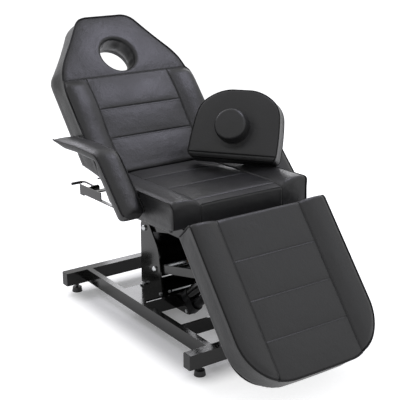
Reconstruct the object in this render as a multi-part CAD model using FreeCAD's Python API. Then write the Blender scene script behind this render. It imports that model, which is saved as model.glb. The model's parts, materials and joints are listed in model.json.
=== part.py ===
import FreeCAD, Part
import math
import os

V = FreeCAD.Vector
UP = V(0, 0, 1)
ACROSS = V(1, 0, 0)

# A tattoo chair on a welded base frame. A parallelogram lift with an electric actuator carries the
# seat, the back and the leg rest turn on hinges with gas springs, and the armrests fold down.
# Millimetres. +Z is up, +Y points to the head end, +X to the sitter's left seen from the foot end.
# Places are measured from the middle of the whole chair, on the floor. One place along Y, the
# lower pivot's, sets all others.

# Driving sizes of the base frame
floor_gap = 39.0
tube_height = 57.0
tube_depth = 40.0
tube_wall = 2.5
tube_length = 592.0
tube_spacing = 925.0
rear_tube_offset = 384.0
cap_thickness = 4.0
rail_spread = 202.0
rail_width = 25.0
rail_height = 55.0
crossbar_thickness = 8.0
foot_inset = 53.0
foot_radius = 22.0
foot_height = 20.0
stud_radius = 5.0
turning_play = 0.05

# Driving sizes of the lift
lower_pivot_y = 167.55
lower_pivot_z = 192.0
pivot_setback = 77.0
pivot_rise = 154.0
link_length = 450.0
link_angle = 13.5
link_height = 34.0
link_thickness = 6.0
link_spread = 74.0
shaft_radius = 8.0
bush_wall = 2.0
column_spread = 85.0
column_plate = 6.0
column_depth = 108.0
column_front_gap = 2.0
deck_thickness = 6.0
slot_width = 16.0
head_plate = 6.0
head_spread = 66.0

# Driving sizes of the seat, the back and the leg rest
seat_setback_share = 0.94803
seat_rise = 309.9
seat_pitch = -1.8
seat_width = 605.0
seat_depth = 508.0
back_angle = 48.0
back_width = 602.0
back_length = 722.0
back_shoulder = 466.0
back_top_width = 242.0
leg_angle = 51.0
leg_width = 600.0
leg_length = 603.0
cushion_thickness = 90.0
board_thickness = 12.0
board_inset = 16.0
crown = 8.0
bolster_crown = 13.0
edge_round = 15.0
side_draw = 5.0
seam_sink = 8.0
bolster_edge = 5.0
front_roll = 28.0
top_roll = 20.0
seat_seam = 183.0
back_seam = 192.0
leg_seam = 182.0
arm_side_gap = 1.5
seat_channel_shares = (0.24, 0.571, 0.906)
back_channel_shares = (0.213, 0.392, 0.598)
leg_channel_shares = (0.273, 0.514, 0.755)
face_hole_radius = 77.0
face_hole_place = 525.0
face_hole_dish = 26.0

# Driving sizes of the hinges and the frame under the cushions
back_hinge_lead = 12.0
back_hinge_drop = 27.0
leg_hinge_lead = 10.5
leg_hinge_drop = 97.5
frame_tube = 25.0
leg_tube = 20.0
frame_wall = 2.0
rail_outer = 242.0
rail_plate = 4.0
rail_drop = 38.0
rail_flange = 16.0
lug_plate = 6.0
lug_gap = 2.0
hinge_pin_radius = 6.0
leg_pin_radius = 5.0

# Driving sizes of the struts
strut_pin_radius = 4.5
strut_eye_play = 6.3
actuator_eye_play = 5.5
strut_cylinder_radius = 10.0
strut_rod_radius = 5.0

# Driving sizes of the armrests
arm_inner = 310.0
arm_width = 90.0
arm_top_z = 739.0
arm_thickness = 21.0
arm_drop_thickness = 41.0
arm_crown = 14.0
arm_rear_setback = 192.0
arm_rear_drop = 13.0
arm_taper = 78.0
arm_rise = 190.0
arm_bend_lead = 155.6
arm_end_z = 562.0
arm_pivot_lead = 177.0
arm_pivot_z = 575.0

# Driving sizes of the head pillow
pillow_width = 397.0
pillow_base_width = 358.0
pillow_height = 288.0
pillow_thickness = 69.5
pillow_lean_angle = 29.0
pillow_turn_angle = -56.8
pillow_tilt_angle = 1.6
pillow_x = 150.0
pillow_lead = 229.0
pillow_z = 654.5
plug_radius = 60.0
plug_reach = 58.0
plug_rise = 125.0

# One overrun serves every cut that runs past a face
cut_over = 30.0
soft_gap = 1.0


def save(name, *shapes):
    """Write one node: a single solid, or a group of separate solids."""
    solids = [s for shape in shapes for s in shape.Solids]
    shape = solids[0] if len(solids) == 1 else Part.makeCompound(solids)
    shape.exportStep("parts/" + name + ".step")


def unit(a):
    size = math.hypot(a[0], a[1])
    return (a[0] / size, a[1] / size)


def outline(points, place):
    """A closed wire of straight runs with rounded corners. Each point is (a, b) or (a, b, radius)."""
    corners = []
    count = len(points)
    for i in range(count):
        before, here, after = points[i - 1], points[i], points[(i + 1) % count]
        radius = here[2] if len(here) > 2 else 0.0
        d1 = unit((here[0] - before[0], here[1] - before[1]))
        d2 = unit((after[0] - here[0], after[1] - here[1]))
        turn = math.acos(max(-1.0, min(1.0, d1[0] * d2[0] + d1[1] * d2[1])))
        if radius <= 0.0 or turn < 1e-6:
            corners.append((here[:2], None, here[:2]))
            continue
        cut = radius * math.tan(turn / 2)
        bend = unit((d2[0] - d1[0], d2[1] - d1[1]))
        sag = radius / math.cos(turn / 2) - radius
        corners.append((
            (here[0] - d1[0] * cut, here[1] - d1[1] * cut),
            (here[0] + bend[0] * sag, here[1] + bend[1] * sag),
            (here[0] + d2[0] * cut, here[1] + d2[1] * cut),
        ))
    edges = []
    for i in range(count):
        start, middle, end = corners[i]
        if middle:
            edges.append(Part.Arc(place(*start), place(*middle), place(*end)).toShape())
        following = corners[(i + 1) % count][0]
        if math.hypot(following[0] - end[0], following[1] - end[1]) > 1e-6:
            edges.append(Part.LineSegment(place(*end), place(*following)).toShape())
    return Part.Wire(edges)


def plate_yz(points, x0, x1):
    """A plate cut to an outline in Y and Z, standing from x0 to x1."""
    wire = outline(points, lambda a, b: V(x0, a, b))
    return Part.Face(wire).extrude(V(x1 - x0, 0, 0))


def plate_xy(points, z0, z1):
    wire = outline(points, lambda a, b: V(a, b, z0))
    return Part.Face(wire).extrude(V(0, 0, z1 - z0))


def plate_xz(points, y0, y1):
    wire = outline(points, lambda a, b: V(a, y0, b))
    return Part.Face(wire).extrude(V(0, y1 - y0, 0))


def block(x0, x1, y0, y1, z0, z1):
    return Part.makeBox(x1 - x0, y1 - y0, z1 - z0, V(x0, y0, z0))


def rod_x(radius, x0, x1, y, z):
    return Part.makeCylinder(radius, x1 - x0, V(x0, y, z), ACROSS)


def ring_x(outer, bore, x0, x1, y, z):
    return rod_x(outer, x0, x1, y, z).cut(rod_x(bore, x0 - cut_over, x1 + cut_over, y, z))


def box_tube(x0, x1, y0, y1, z0, z1, wall, along):
    """A square or flat tube, open at both ends along one axis."""
    outer = block(x0, x1, y0, y1, z0, z1)
    wx = -cut_over if along == "x" else wall
    wy = -cut_over if along == "y" else wall
    return outer.cut(block(x0 + wx, x1 - wx, y0 + wy, y1 - wy, z0 + wall, z1 - wall))


def flipped(shape):
    """The same piece on the other side of the chair."""
    return shape.mirror(V(0, 0, 0), ACROSS)


def pair(shape):
    return [shape, flipped(shape)]


def turned(shape, degrees, at, around=ACROSS):
    copy = shape.copy()
    copy.rotate(at, around, degrees)
    return copy


def turn_point(v, w, degrees):
    a = math.radians(degrees)
    return (v * math.cos(a) - w * math.sin(a), v * math.sin(a) + w * math.cos(a))


# Places that follow from the driving sizes
tube_top = floor_gap + tube_height
rear_tube_y = lower_pivot_y + rear_tube_offset
front_tube_y = rear_tube_y - tube_spacing
upper_pivot_y = lower_pivot_y + pivot_setback
upper_pivot_z = lower_pivot_z + pivot_rise
link_reach = link_length * math.cos(math.radians(link_angle))
link_lift = link_length * math.sin(math.radians(link_angle))
head_low_y = lower_pivot_y - link_reach
head_low_z = lower_pivot_z + link_lift
head_high_y = upper_pivot_y - link_reach
head_high_z = upper_pivot_z + link_lift
seat_y = head_low_y + seat_setback_share * seat_depth
seat_z = head_low_z + seat_rise
arm_rear_y = seat_y + arm_rear_setback
arm_bend_y = seat_y - arm_bend_lead
arm_pivot_y = seat_y - arm_pivot_lead


def seat_point(v, w):
    """A place in the seat's own plane: v towards the head, w square to the seat, from its rear edge."""
    dy, dz = turn_point(v, w, seat_pitch)
    return (seat_y + dy, seat_z + dz)


back_hinge_y, back_hinge_z = seat_point(back_hinge_lead, -back_hinge_drop)
leg_hinge_y, leg_hinge_z = seat_point(-seat_depth - leg_hinge_lead, -leg_hinge_drop)
back_shift = turn_point(-back_hinge_lead, -back_hinge_drop, back_angle)
back_y = back_hinge_y - back_shift[0]
back_z = back_hinge_z - back_shift[1]
leg_shift = turn_point(0.0, -leg_hinge_drop, leg_angle)
leg_y = leg_hinge_y - leg_shift[0]
leg_z = leg_hinge_z - leg_shift[1]


def back_point(v, w):
    dy, dz = turn_point(v, w, back_angle)
    return (back_y + dy, back_z + dz)


def leg_point(v, w):
    dy, dz = turn_point(v, w, leg_angle)
    return (leg_y + dy, leg_z + dz)


def on_seat(shape):
    copy = turned(shape, seat_pitch, V(0, 0, 0))
    copy.translate(V(0, seat_y, seat_z))
    return copy


def on_back(shape):
    copy = turned(shape, back_angle, V(0, 0, 0))
    copy.translate(V(0, back_y, back_z))
    return copy


def on_leg(shape):
    copy = turned(shape, leg_angle, V(0, 0, 0))
    copy.translate(V(0, leg_y, leg_z))
    return copy


# Base frame: two end tubes on four feet, side rails, crossbars and the deck under the column
def end_tube(y):
    half = tube_length / 2
    depth = tube_depth / 2
    tube = box_tube(-half, half, y - depth, y + depth, floor_gap, tube_top, tube_wall, "x")
    for side in (-1, 1):
        x = side * (half - foot_inset)
        hole = Part.makeCylinder(stud_radius + turning_play, tube_height / 2, V(x, y, floor_gap - tube_wall), UP)
        tube = tube.cut(hole)
    return tube


def tube_caps():
    caps = []
    half = tube_length / 2
    depth = tube_depth / 2
    for y in (front_tube_y, rear_tube_y):
        corners = [
            (y - depth, floor_gap, tube_wall),
            (y + depth, floor_gap, tube_wall),
            (y + depth, tube_top, tube_wall),
            (y - depth, tube_top, tube_wall),
        ]
        cap = plate_yz(corners, half, half + cap_thickness)
        neck_y = depth - tube_wall - turning_play
        neck = block(
            half - foot_inset / 3, half, y - neck_y, y + neck_y,
            floor_gap + tube_wall + turning_play, tube_top - tube_wall - turning_play,
        )
        caps += pair(cap.fuse(neck))
    return caps


def side_rails():
    y0 = front_tube_y + tube_depth / 2
    y1 = rear_tube_y - tube_depth / 2
    rail = box_tube(
        rail_spread - rail_width, rail_spread, y0, y1, tube_top - rail_height, tube_top, tube_wall, "y"
    )
    return pair(rail)


column_rear_y = upper_pivot_y + 0.29 * column_depth
column_foot_y = column_rear_y - 1.46 * column_depth
crossbar_a_y = column_foot_y - 0.34 * column_depth
crossbar_b_y = front_tube_y + 0.225 * tube_spacing
deck_front_y = crossbar_a_y + crossbar_thickness + slot_width
rear_member_y = column_rear_y - 0.67 * column_depth
rear_member_end = rear_member_y + 1.4 * tube_depth


def crossbars():
    inner = rail_spread - rail_width
    low = tube_top - rail_height
    bars = [block(-inner, inner, y, y + crossbar_thickness, low, tube_top) for y in (crossbar_a_y, crossbar_b_y)]
    rear = box_tube(-inner, inner, rear_member_y, rear_member_end, tube_top - tube_depth, tube_top, tube_wall, "x")
    return bars + [rear]


def deck():
    inner = rail_spread - rail_width
    return block(-inner, inner, deck_front_y, rear_member_y, tube_top - deck_thickness, tube_top)


def levelling_foot(x, y):
    pad = Part.makeCone(foot_radius, foot_radius * 0.86, foot_height, V(x, y, 0), UP)
    nut_low = floor_gap - foot_height / 2
    nut = Part.makeCylinder(stud_radius * 1.8, foot_height / 2 - soft_gap, V(x, y, nut_low), UP)
    stud = Part.makeCylinder(stud_radius, tube_height, V(x, y, foot_height / 2), UP)
    return [pad.cut(stud), stud.fuse(nut).removeSplitter()]


# Lift column: a bent steel channel, open to the front, on a flange plate
column_foot_z = tube_top + deck_thickness
column_top_z = upper_pivot_z + column_spread * 0.35


def column_profile():
    front_top = upper_pivot_y - 0.25 * column_depth
    front_middle = lower_pivot_y - 0.21 * column_depth
    middle_z = lower_pivot_z + 0.58 * pivot_rise
    return [
        (column_rear_y, column_foot_z),
        (column_rear_y, column_top_z, 24.0 / 108.0 * column_depth),
        (front_top, column_top_z, 12.0 / 108.0 * column_depth),
        (front_middle, middle_z, column_depth),
        (column_foot_y, column_foot_z),
    ]


def column():
    outer = column_spread
    plate = plate_yz(column_profile(), outer - column_plate, outer)
    web = block(
        -outer + column_plate, outer - column_plate, column_rear_y - column_plate, column_rear_y,
        column_foot_z, column_top_z - 0.25 * column_depth,
    )
    shell = web.fuse(pair(plate))
    for y, z in ((lower_pivot_y, lower_pivot_z), (upper_pivot_y, upper_pivot_z)):
        shell = shell.cut(rod_x(shaft_radius, -outer - cut_over, outer + cut_over, y, z))
    return shell.removeSplitter()


flange_spread = column_spread + 20.0 / 85.0 * column_spread


def column_flange():
    radius = column_plate
    corners = [
        (-flange_spread, crossbar_a_y, radius),
        (flange_spread, crossbar_a_y, radius),
        (flange_spread, rear_member_end, radius),
        (-flange_spread, rear_member_end, radius),
    ]
    return plate_xy(corners, tube_top, column_foot_z)


def flange_bolts():
    bolts = []
    radius = stud_radius * 1.7
    for y in (crossbar_a_y + 2 * crossbar_thickness + slot_width, rear_member_end - 2 * crossbar_thickness):
        for side in (-1, 1):
            x = side * (flange_spread + column_spread) / 2
            points = [
                (x + radius * math.cos(k * math.pi / 3), y + radius * math.sin(k * math.pi / 3))
                for k in range(6)
            ]
            bolts.append(plate_xy(points, column_foot_z, column_foot_z + stud_radius))
    return bolts


stop_bar_y = crossbar_a_y + crossbar_thickness + slot_width / 2
stop_bar_radius = stud_radius * 0.8
stop_bar_z = column_foot_z + 2.2 * stud_radius
stop_bar_reach = 0.78 * column_spread


def stop_bar():
    """The rod that the lowered links' cross tube would meet, held by two small ears with nuts outside."""
    bar = rod_x(stop_bar_radius, -stop_bar_reach, stop_bar_reach, stop_bar_y, stop_bar_z)
    nut = rod_x(stud_radius * 1.3, stop_bar_reach - stud_radius, stop_bar_reach, stop_bar_y, stop_bar_z)
    return bar.fuse(pair(nut)).removeSplitter()


def stop_bar_ears():
    half = stud_radius * 1.6
    inner = stop_bar_reach - 2.2 * stud_radius
    ear = plate_yz(
        [
            (stop_bar_y - half, column_foot_z),
            (stop_bar_y + half, column_foot_z),
            (stop_bar_y + half, stop_bar_z + half, half),
            (stop_bar_y - half, stop_bar_z + half, half * 0.99),
        ],
        inner, inner + rail_plate,
    )
    ear = ear.cut(rod_x(stop_bar_radius, inner - cut_over, inner + cut_over, stop_bar_y, stop_bar_z))
    return pair(ear)


def domed_cap(x, y, z, radius):
    """A domed nut on the end of a shaft: a short drum with a rounded face."""
    drum = rod_x(radius, x, x + radius * 0.45, y, z)
    dome = Part.makeSphere(radius * 1.18, V(x + radius * 0.45 - radius * 0.6, y, z))
    shell = rod_x(radius, x + radius * 0.45, x + radius * 1.2, y, z).common(dome)
    return drum.fuse(shell).removeSplitter()


def column_shafts():
    shafts = []
    for y, z in ((lower_pivot_y, lower_pivot_z), (upper_pivot_y, upper_pivot_z)):
        shaft = rod_x(shaft_radius, -column_spread, column_spread, y, z)
        cap = domed_cap(column_spread, y, z, shaft_radius * 1.5)
        shafts.append(shaft.fuse(pair(cap)).removeSplitter())
    return shafts


# Parallelogram links: two flat bars each, with a cross tube between them
bush_radius = shaft_radius + bush_wall
link_inner = link_spread - link_thickness


def link_arms(y, z):
    end_y = y - link_reach
    end_z = z + link_lift
    bar = rod_x(link_height / 2, link_inner, link_spread, y, z)
    bar = bar.fuse(rod_x(link_height / 2, link_inner, link_spread, end_y, end_z))
    rise = math.degrees(math.atan2(link_lift, link_reach))
    web = block(link_inner, link_spread, y - link_length, y, z - link_height / 2, z + link_height / 2)
    bar = bar.fuse(turned(web, -rise, V(0, y, z))).removeSplitter()
    for hole_y, hole_z in ((y, z), (end_y, end_z)):
        bar = bar.cut(rod_x(bush_radius, link_inner - cut_over, link_spread + cut_over, hole_y, hole_z))
    share = 0.26
    cross_y = y - share * link_reach
    cross_z = z + share * link_lift
    tube = ring_x(link_height * 0.42, link_height * 0.42 - frame_wall, -link_inner, link_inner, cross_y, cross_z)
    return pair(bar) + [tube]


def link_bushes(y, z):
    """Flanged bushes: the collar keeps the bar off the column, and the far pair off the pin's head."""
    play = 0.3 * soft_gap
    bushes = []
    for by, bz in ((y, z), (y - link_reach, z + link_lift)):
        sleeve = ring_x(bush_radius, shaft_radius + turning_play, link_inner, link_spread, by, bz)
        collar = ring_x(
            bush_radius * 1.35, shaft_radius + turning_play, link_spread,
            column_spread - column_plate - play, by, bz,
        )
        bushes += pair(sleeve.fuse(collar).removeSplitter())
    return bushes


def head_shaft(y, z):
    """The pin through the moving head and the front ends of one pair of links."""
    head_x = column_spread - column_plate
    shaft = rod_x(shaft_radius, -head_x, head_x, y, z)
    cap = domed_cap(head_x, y, z, shaft_radius * 1.5)
    return shaft.fuse(pair(cap)).removeSplitter()


# Moving head: a bent steel saddle between the front link ends and the seat frame
head_top_w = -cushion_thickness - board_thickness - frame_tube
head_front_v = -0.94 * seat_depth
head_rear_v = -0.685 * seat_depth


def lift_head():
    edge = shaft_radius * 3.2
    top_front = seat_point(head_front_v, head_top_w)
    top_rear = seat_point(head_rear_v, head_top_w)
    profile = [
        (head_low_y - edge, head_low_z - edge, edge * 0.95),
        (head_low_y + edge, head_low_z - edge, edge * 0.95),
        top_rear,
        top_front,
    ]
    cheek = plate_yz(profile, head_spread - head_plate, head_spread)
    roof = on_seat(block(
        -head_spread + head_plate, head_spread - head_plate, head_front_v, head_rear_v,
        head_top_w - head_plate, head_top_w,
    ))
    saddle = roof.fuse(pair(cheek))
    for y, z in ((head_low_y, head_low_z), (head_high_y, head_high_z)):
        saddle = saddle.cut(rod_x(shaft_radius, -head_spread - cut_over, head_spread + cut_over, y, z))
    return saddle.removeSplitter()


# Seat frame: two angle rails that run on behind the seat, cross tubes, hinge ears and lugs
board_low = -cushion_thickness - board_thickness
rail_low = board_low - rail_drop
rail_front_v = -0.945 * seat_depth
rail_rear_v = 0.563 * seat_depth
window_front_v = -0.095 * seat_depth
window_rear_v = 0.218 * seat_depth
cross_front_v = -0.91 * seat_depth
cross_middle_v = -0.635 * seat_depth


def seat_rails():
    leg = block(rail_outer - rail_plate, rail_outer, rail_front_v, rail_rear_v, rail_low, board_low)
    flange = block(rail_outer - rail_flange, rail_outer, rail_front_v, rail_rear_v, rail_low, rail_low + rail_plate)
    window = block(
        rail_outer - rail_plate - cut_over, rail_outer + cut_over, window_front_v, window_rear_v,
        rail_low + rail_plate, board_low + cut_over,
    )
    rail = leg.fuse(flange).cut(window).removeSplitter()
    return [on_seat(s) for s in pair(rail)]


def seat_cross_tubes():
    inner = rail_outer - rail_plate
    half = frame_tube / 2
    tubes = []
    for v in (cross_front_v, cross_middle_v):
        tube = box_tube(-inner, inner, v - half, v + half, board_low - frame_tube, board_low, frame_wall, "x")
        tubes.append(on_seat(tube))
    strap = block(-rail_outer, rail_outer, rail_rear_v - 1.2 * frame_tube, rail_rear_v, rail_low - head_plate, rail_low)
    tubes.append(on_seat(strap))
    return tubes


ear_outer = rail_outer - rail_plate
ear_inner = ear_outer - lug_plate
back_lug_outer = ear_inner - lug_gap
back_lug_inner = back_lug_outer - lug_plate


def back_hinge_ears():
    half = hinge_pin_radius * 3
    profile = [
        (back_hinge_lead - half, rail_low + rail_plate),
        (back_hinge_lead + half, rail_low + rail_plate),
        (back_hinge_lead + half, half - back_hinge_drop, half),
        (back_hinge_lead - half, half - back_hinge_drop, half * 0.99),
    ]
    ear = plate_yz(profile, ear_inner, ear_outer)
    ear = ear.cut(rod_x(hinge_pin_radius, ear_inner - cut_over, ear_outer + cut_over, back_hinge_lead, -back_hinge_drop))
    return [on_seat(s) for s in pair(ear)]


def bar_between(v0, w0, v1, w1, half, x0, x1):
    """A flat bar with rounded ends, between two places in one plane."""
    length = math.hypot(v1 - v0, w1 - w0)
    bar = block(x0, x1, v0, v0 + length, w0 - half, w0 + half)
    bar = turned(bar, math.degrees(math.atan2(w1 - w0, v1 - v0)), V(0, v0, w0))
    ends = [rod_x(half, x0, x1, v0, w0), rod_x(half, x0, x1, v1, w1)]
    return bar.fuse(ends).removeSplitter()


leg_lug_half = leg_pin_radius * 2
leg_lug_inner = 0.97 * leg_seam
leg_lug_outer = leg_lug_inner + lug_plate
seat_lug_inner = leg_lug_outer + lug_gap
seat_lug_outer = seat_lug_inner + lug_plate


def leg_hinge_lugs():
    v0 = cross_front_v
    w0 = board_low - frame_tube / 2
    v1 = -seat_depth - leg_hinge_lead
    lug = bar_between(v0, w0, v1, -leg_hinge_drop, leg_lug_half, seat_lug_inner, seat_lug_outer)
    half = frame_tube / 2
    inner = rail_outer
    lug = lug.cut(block(-inner, inner, v0 - half, v0 + half, board_low - frame_tube, board_low))
    lug = max(lug.Solids, key=lambda s: s.Volume)
    lug = lug.cut(rod_x(leg_pin_radius, seat_lug_inner - cut_over, seat_lug_outer + cut_over, v1, -leg_hinge_drop))
    return [on_seat(s) for s in pair(lug)]


# Gas springs and their lugs, in the seat's plane
strut_anchor_v = cross_middle_v + 0.22 * frame_tube
back_anchor_w = board_low - 3.4 * frame_tube
leg_anchor_w = board_low - 2.4 * frame_tube
leg_strut_x = 110.0
strut_eye_half = 7.0
strut_lug_gap = 2.0
crank_length = 60.0
crank_angle = 18.0
back_anchor_y, back_anchor_z = seat_point(strut_anchor_v, back_anchor_w)
leg_anchor_y, leg_anchor_z = seat_point(strut_anchor_v, leg_anchor_w)
crank_y = back_hinge_y + crank_length * math.sin(math.radians(crank_angle))
crank_z = back_hinge_z - crank_length * math.cos(math.radians(crank_angle))
leg_eye_v = -0.2 * leg_length
leg_eye_w = board_low - 1.12 * frame_tube
leg_eye_y, leg_eye_z = leg_point(leg_eye_v, leg_eye_w)
strut_lug_inner = strut_eye_half + strut_lug_gap
strut_lug_outer = strut_lug_inner + lug_plate * 0.8
strut_lug_half = strut_pin_radius * 2.6


def strut_lugs():
    """Two pairs of lugs under the seat's middle cross tube, each pair with its pin."""
    solids = []
    for x, w in ((0.0, back_anchor_w), (leg_strut_x, leg_anchor_w)):
        top = board_low - frame_tube
        for side in (-1, 1):
            x0, x1 = sorted((x + side * strut_lug_inner, x + side * strut_lug_outer))
            lug = plate_yz(
                [
                    (strut_anchor_v - strut_lug_half, w - strut_lug_half, strut_lug_half * 0.99),
                    (strut_anchor_v + strut_lug_half, w - strut_lug_half, strut_lug_half),
                    (strut_anchor_v + strut_lug_half, w + strut_lug_half),
                    (cross_middle_v + frame_tube / 2, top),
                    (cross_middle_v - frame_tube / 2, top),
                ],
                x0, x1,
            )
            hole = rod_x(strut_pin_radius, x0 - cut_over, x1 + cut_over, strut_anchor_v, w)
            solids.append(on_seat(lug.cut(hole)))
    return solids


def strut_pin(x, y, z):
    """A clevis pin with a flat head at each end."""
    pin = rod_x(strut_pin_radius, x - strut_lug_outer, x + strut_lug_outer, y, z)
    head = strut_pin_radius * 0.7
    for side in (-1, 1):
        x0 = x + side * strut_lug_outer - (head if side < 0 else 0.0)
        pin = pin.fuse(rod_x(strut_pin_radius * 1.6, x0, x0 + head, y, z))
    return pin.removeSplitter()


def strut_cylinder(x, y0, z0, y1, z1, reach_share):
    """The body of a gas spring: an eye at its anchor and a tube that ends short of the far eye."""
    length = math.hypot(y1 - y0, z1 - z0)
    along = V(0, (y1 - y0) / length, (z1 - z0) / length)
    eye_outer = strut_pin_radius * 2.2
    eye = rod_x(eye_outer, x - strut_eye_half, x + strut_eye_half, y0, z0)
    start = eye_outer * 0.8
    neck = Part.makeCylinder(strut_rod_radius, 1.6 * eye_outer, V(x, y0, z0) + along * start, along)
    body_start = start + 1.2 * eye_outer
    body_end = reach_share * length
    body = Part.makeCylinder(strut_cylinder_radius, body_end - body_start, V(x, y0, z0) + along * body_start, along)
    shape = eye.fuse([neck, body]).removeSplitter()
    bore = Part.makeCylinder(
        strut_rod_radius + turning_play, body_end - body_start, V(x, y0, z0) + along * (body_start + eye_outer), along
    )
    hole = rod_x(strut_pin_radius + turning_play, x - cut_over, x + cut_over, y0, z0)
    return shape.cut(bore).cut(hole)


def strut_rod(x, y0, z0, y1, z1, root_share, eye_bore):
    """The rod of a gas spring, with a roomy eye round the pin of the piece that it drives."""
    length = math.hypot(y1 - y0, z1 - z0)
    along = V(0, (y1 - y0) / length, (z1 - z0) / length)
    eye_outer = eye_bore + strut_pin_radius * 1.3
    root = root_share * length
    rod = Part.makeCylinder(strut_rod_radius, length - root - eye_bore, V(x, y0, z0) + along * root, along)
    eye = rod_x(eye_outer, x - strut_eye_half, x + strut_eye_half, y1, z1)
    shape = rod.fuse(eye)
    return shape.cut(rod_x(eye_bore, x - cut_over, x + cut_over, y1, z1)).removeSplitter()


# Back frame: a cross tube with cranked hinge lugs, two uprights and a top tube
back_cross_v = 75.0
back_cross_w = board_low - frame_tube / 2
back_upright_x = 0.8 * back_seam
back_frame_top = 0.59 * back_length


def back_frame():
    half = frame_tube / 2
    solids = []
    lower = box_tube(
        -back_lug_inner, back_lug_inner, back_cross_v - half, back_cross_v + half,
        board_low - frame_tube, board_low, frame_wall, "x",
    )
    solids.append(lower)
    upright = box_tube(
        back_upright_x - half, back_upright_x + half, back_cross_v + half, back_frame_top,
        board_low - frame_tube, board_low, frame_wall, "y",
    )
    solids += pair(upright)
    top = box_tube(
        -back_upright_x + half, back_upright_x - half, back_frame_top - frame_tube, back_frame_top,
        board_low - frame_tube, board_low, frame_wall, "x",
    )
    solids.append(top)
    lug = bar_between(
        -back_hinge_lead, -back_hinge_drop, back_cross_v, back_cross_w,
        hinge_pin_radius * 2.1, back_lug_inner, back_lug_outer,
    )
    pin_hole = rod_x(
        hinge_pin_radius + turning_play, back_lug_inner - cut_over, back_lug_outer + cut_over,
        -back_hinge_lead, -back_hinge_drop,
    )
    solids += pair(lug.cut(pin_hole))
    return [on_back(s) for s in solids]


def back_crank():
    """Two crank plates on the back's lower cross tube, with the pin that the gas spring pushes."""
    cy, cz = turn_point(crank_y - back_y, crank_z - back_z, -back_angle)
    half = frame_tube / 2
    solids = []
    for side in (-1, 1):
        x0, x1 = sorted((side * strut_lug_inner, side * strut_lug_outer))
        plate = bar_between(cy, cz, back_cross_v, back_cross_w, strut_lug_half, x0, x1)
        plate = plate.cut(block(
            -cut_over, cut_over, back_cross_v - half, back_cross_v + half, board_low - frame_tube, board_low
        ))
        plate = max(plate.Solids, key=lambda s: s.Volume)
        hole = rod_x(strut_pin_radius, x0 - cut_over, x1 + cut_over, cy, cz)
        solids.append(on_back(plate.cut(hole)))
    return solids


def hinge_pins(outer, inner, radius, y, z):
    pin = rod_x(radius, inner, outer, y, z)
    head = rod_x(radius * 1.5, inner - radius * 0.6, inner, y, z)
    return pair(pin.fuse(head).removeSplitter())


# Leg rest frame
leg_cross_v = -0.27 * leg_length
leg_end_v = -0.78 * leg_length
leg_upright_outer = leg_lug_inner
leg_upright_inner = leg_upright_outer - leg_tube


def leg_frame():
    top_v = -1.5 * leg_tube
    solids = []
    upright = box_tube(
        leg_upright_inner, leg_upright_outer, leg_end_v, top_v, board_low - leg_tube, board_low, frame_wall, "y"
    )
    solids += pair(upright)
    for v in (leg_cross_v, leg_end_v + leg_tube / 2):
        cross = box_tube(
            -leg_upright_inner, leg_upright_inner, v - leg_tube / 2, v + leg_tube / 2,
            board_low - leg_tube, board_low, frame_wall, "x",
        )
        solids.append(cross)
    lug = bar_between(
        -2.6 * leg_tube, board_low - leg_tube / 2, 0.0, -leg_hinge_drop, leg_lug_half, leg_lug_inner, leg_lug_outer
    )
    hole = rod_x(
        leg_pin_radius + turning_play, leg_lug_inner - cut_over, leg_lug_outer + cut_over, 0.0, -leg_hinge_drop
    )
    solids += pair(lug.cut(hole))
    for side in (-1, 1):
        x0, x1 = sorted((leg_strut_x + side * strut_lug_inner, leg_strut_x + side * strut_lug_outer))
        ear = plate_yz(
            [
                (leg_cross_v - leg_tube / 2, board_low - leg_tube),
                (leg_eye_v - strut_lug_half, leg_eye_w - strut_lug_half, strut_lug_half),
                (leg_eye_v + strut_lug_half, leg_eye_w - strut_lug_half, strut_lug_half * 0.99),
                (leg_eye_v + strut_lug_half, board_low),
                (leg_cross_v + leg_tube / 2, board_low),
                (leg_cross_v + leg_tube / 2, board_low - leg_tube),
            ],
            x0, x1,
        )
        solids.append(ear.cut(rod_x(strut_pin_radius, x0 - cut_over, x1 + cut_over, leg_eye_v, leg_eye_w)))
    return [on_leg(s) for s in solids]


# Cushions: an edge-rounded body, cut to crowned panels between the seams
def inset_polygon(points, by):
    """Move every side of an outline inwards by one distance. The outline runs anticlockwise."""
    count = len(points)
    lines = []
    for i in range(count):
        a, b = points[i], points[(i + 1) % count]
        d = unit((b[0] - a[0], b[1] - a[1]))
        lines.append(((a[0] - d[1] * by, a[1] + d[0] * by), d))
    moved = []
    for i in range(count):
        (p, d), (q, e) = lines[i - 1], lines[i]
        cross = d[0] * e[1] - d[1] * e[0]
        t = ((q[0] - p[0]) * e[1] - (q[1] - p[1]) * e[0]) / cross
        radius = points[i][2]
        rounded = max(radius - by, radius * 0.3) if cross > 0 else radius + by
        moved.append((p[0] + d[0] * t, p[1] + d[1] * t, rounded))
    return moved


def soft_body(points, thickness):
    """A closed body lofted through its outline: sides drawn in, edges rounded towards the top."""
    heights = (
        (-thickness, 0.3 * side_draw),
        (-0.55 * thickness, side_draw),
        (2 * bolster_edge - 1.1 * edge_round, 0.0),
        (2 * bolster_edge - 0.35 * edge_round, 0.16 * edge_round),
        (2 * bolster_edge + 0.1 * edge_round, 0.55 * edge_round),
        (2 * bolster_edge + 0.45 * edge_round, 1.3 * edge_round),
        (2 * bolster_edge + bolster_crown + crown, 3.4 * edge_round),
    )
    wires = []
    for height, by in heights:
        wires.append(outline(inset_polygon(points, by), lambda a, b, h=height: V(a, b, h)))
    return Part.makeLoft(wires, True, True)


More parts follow.
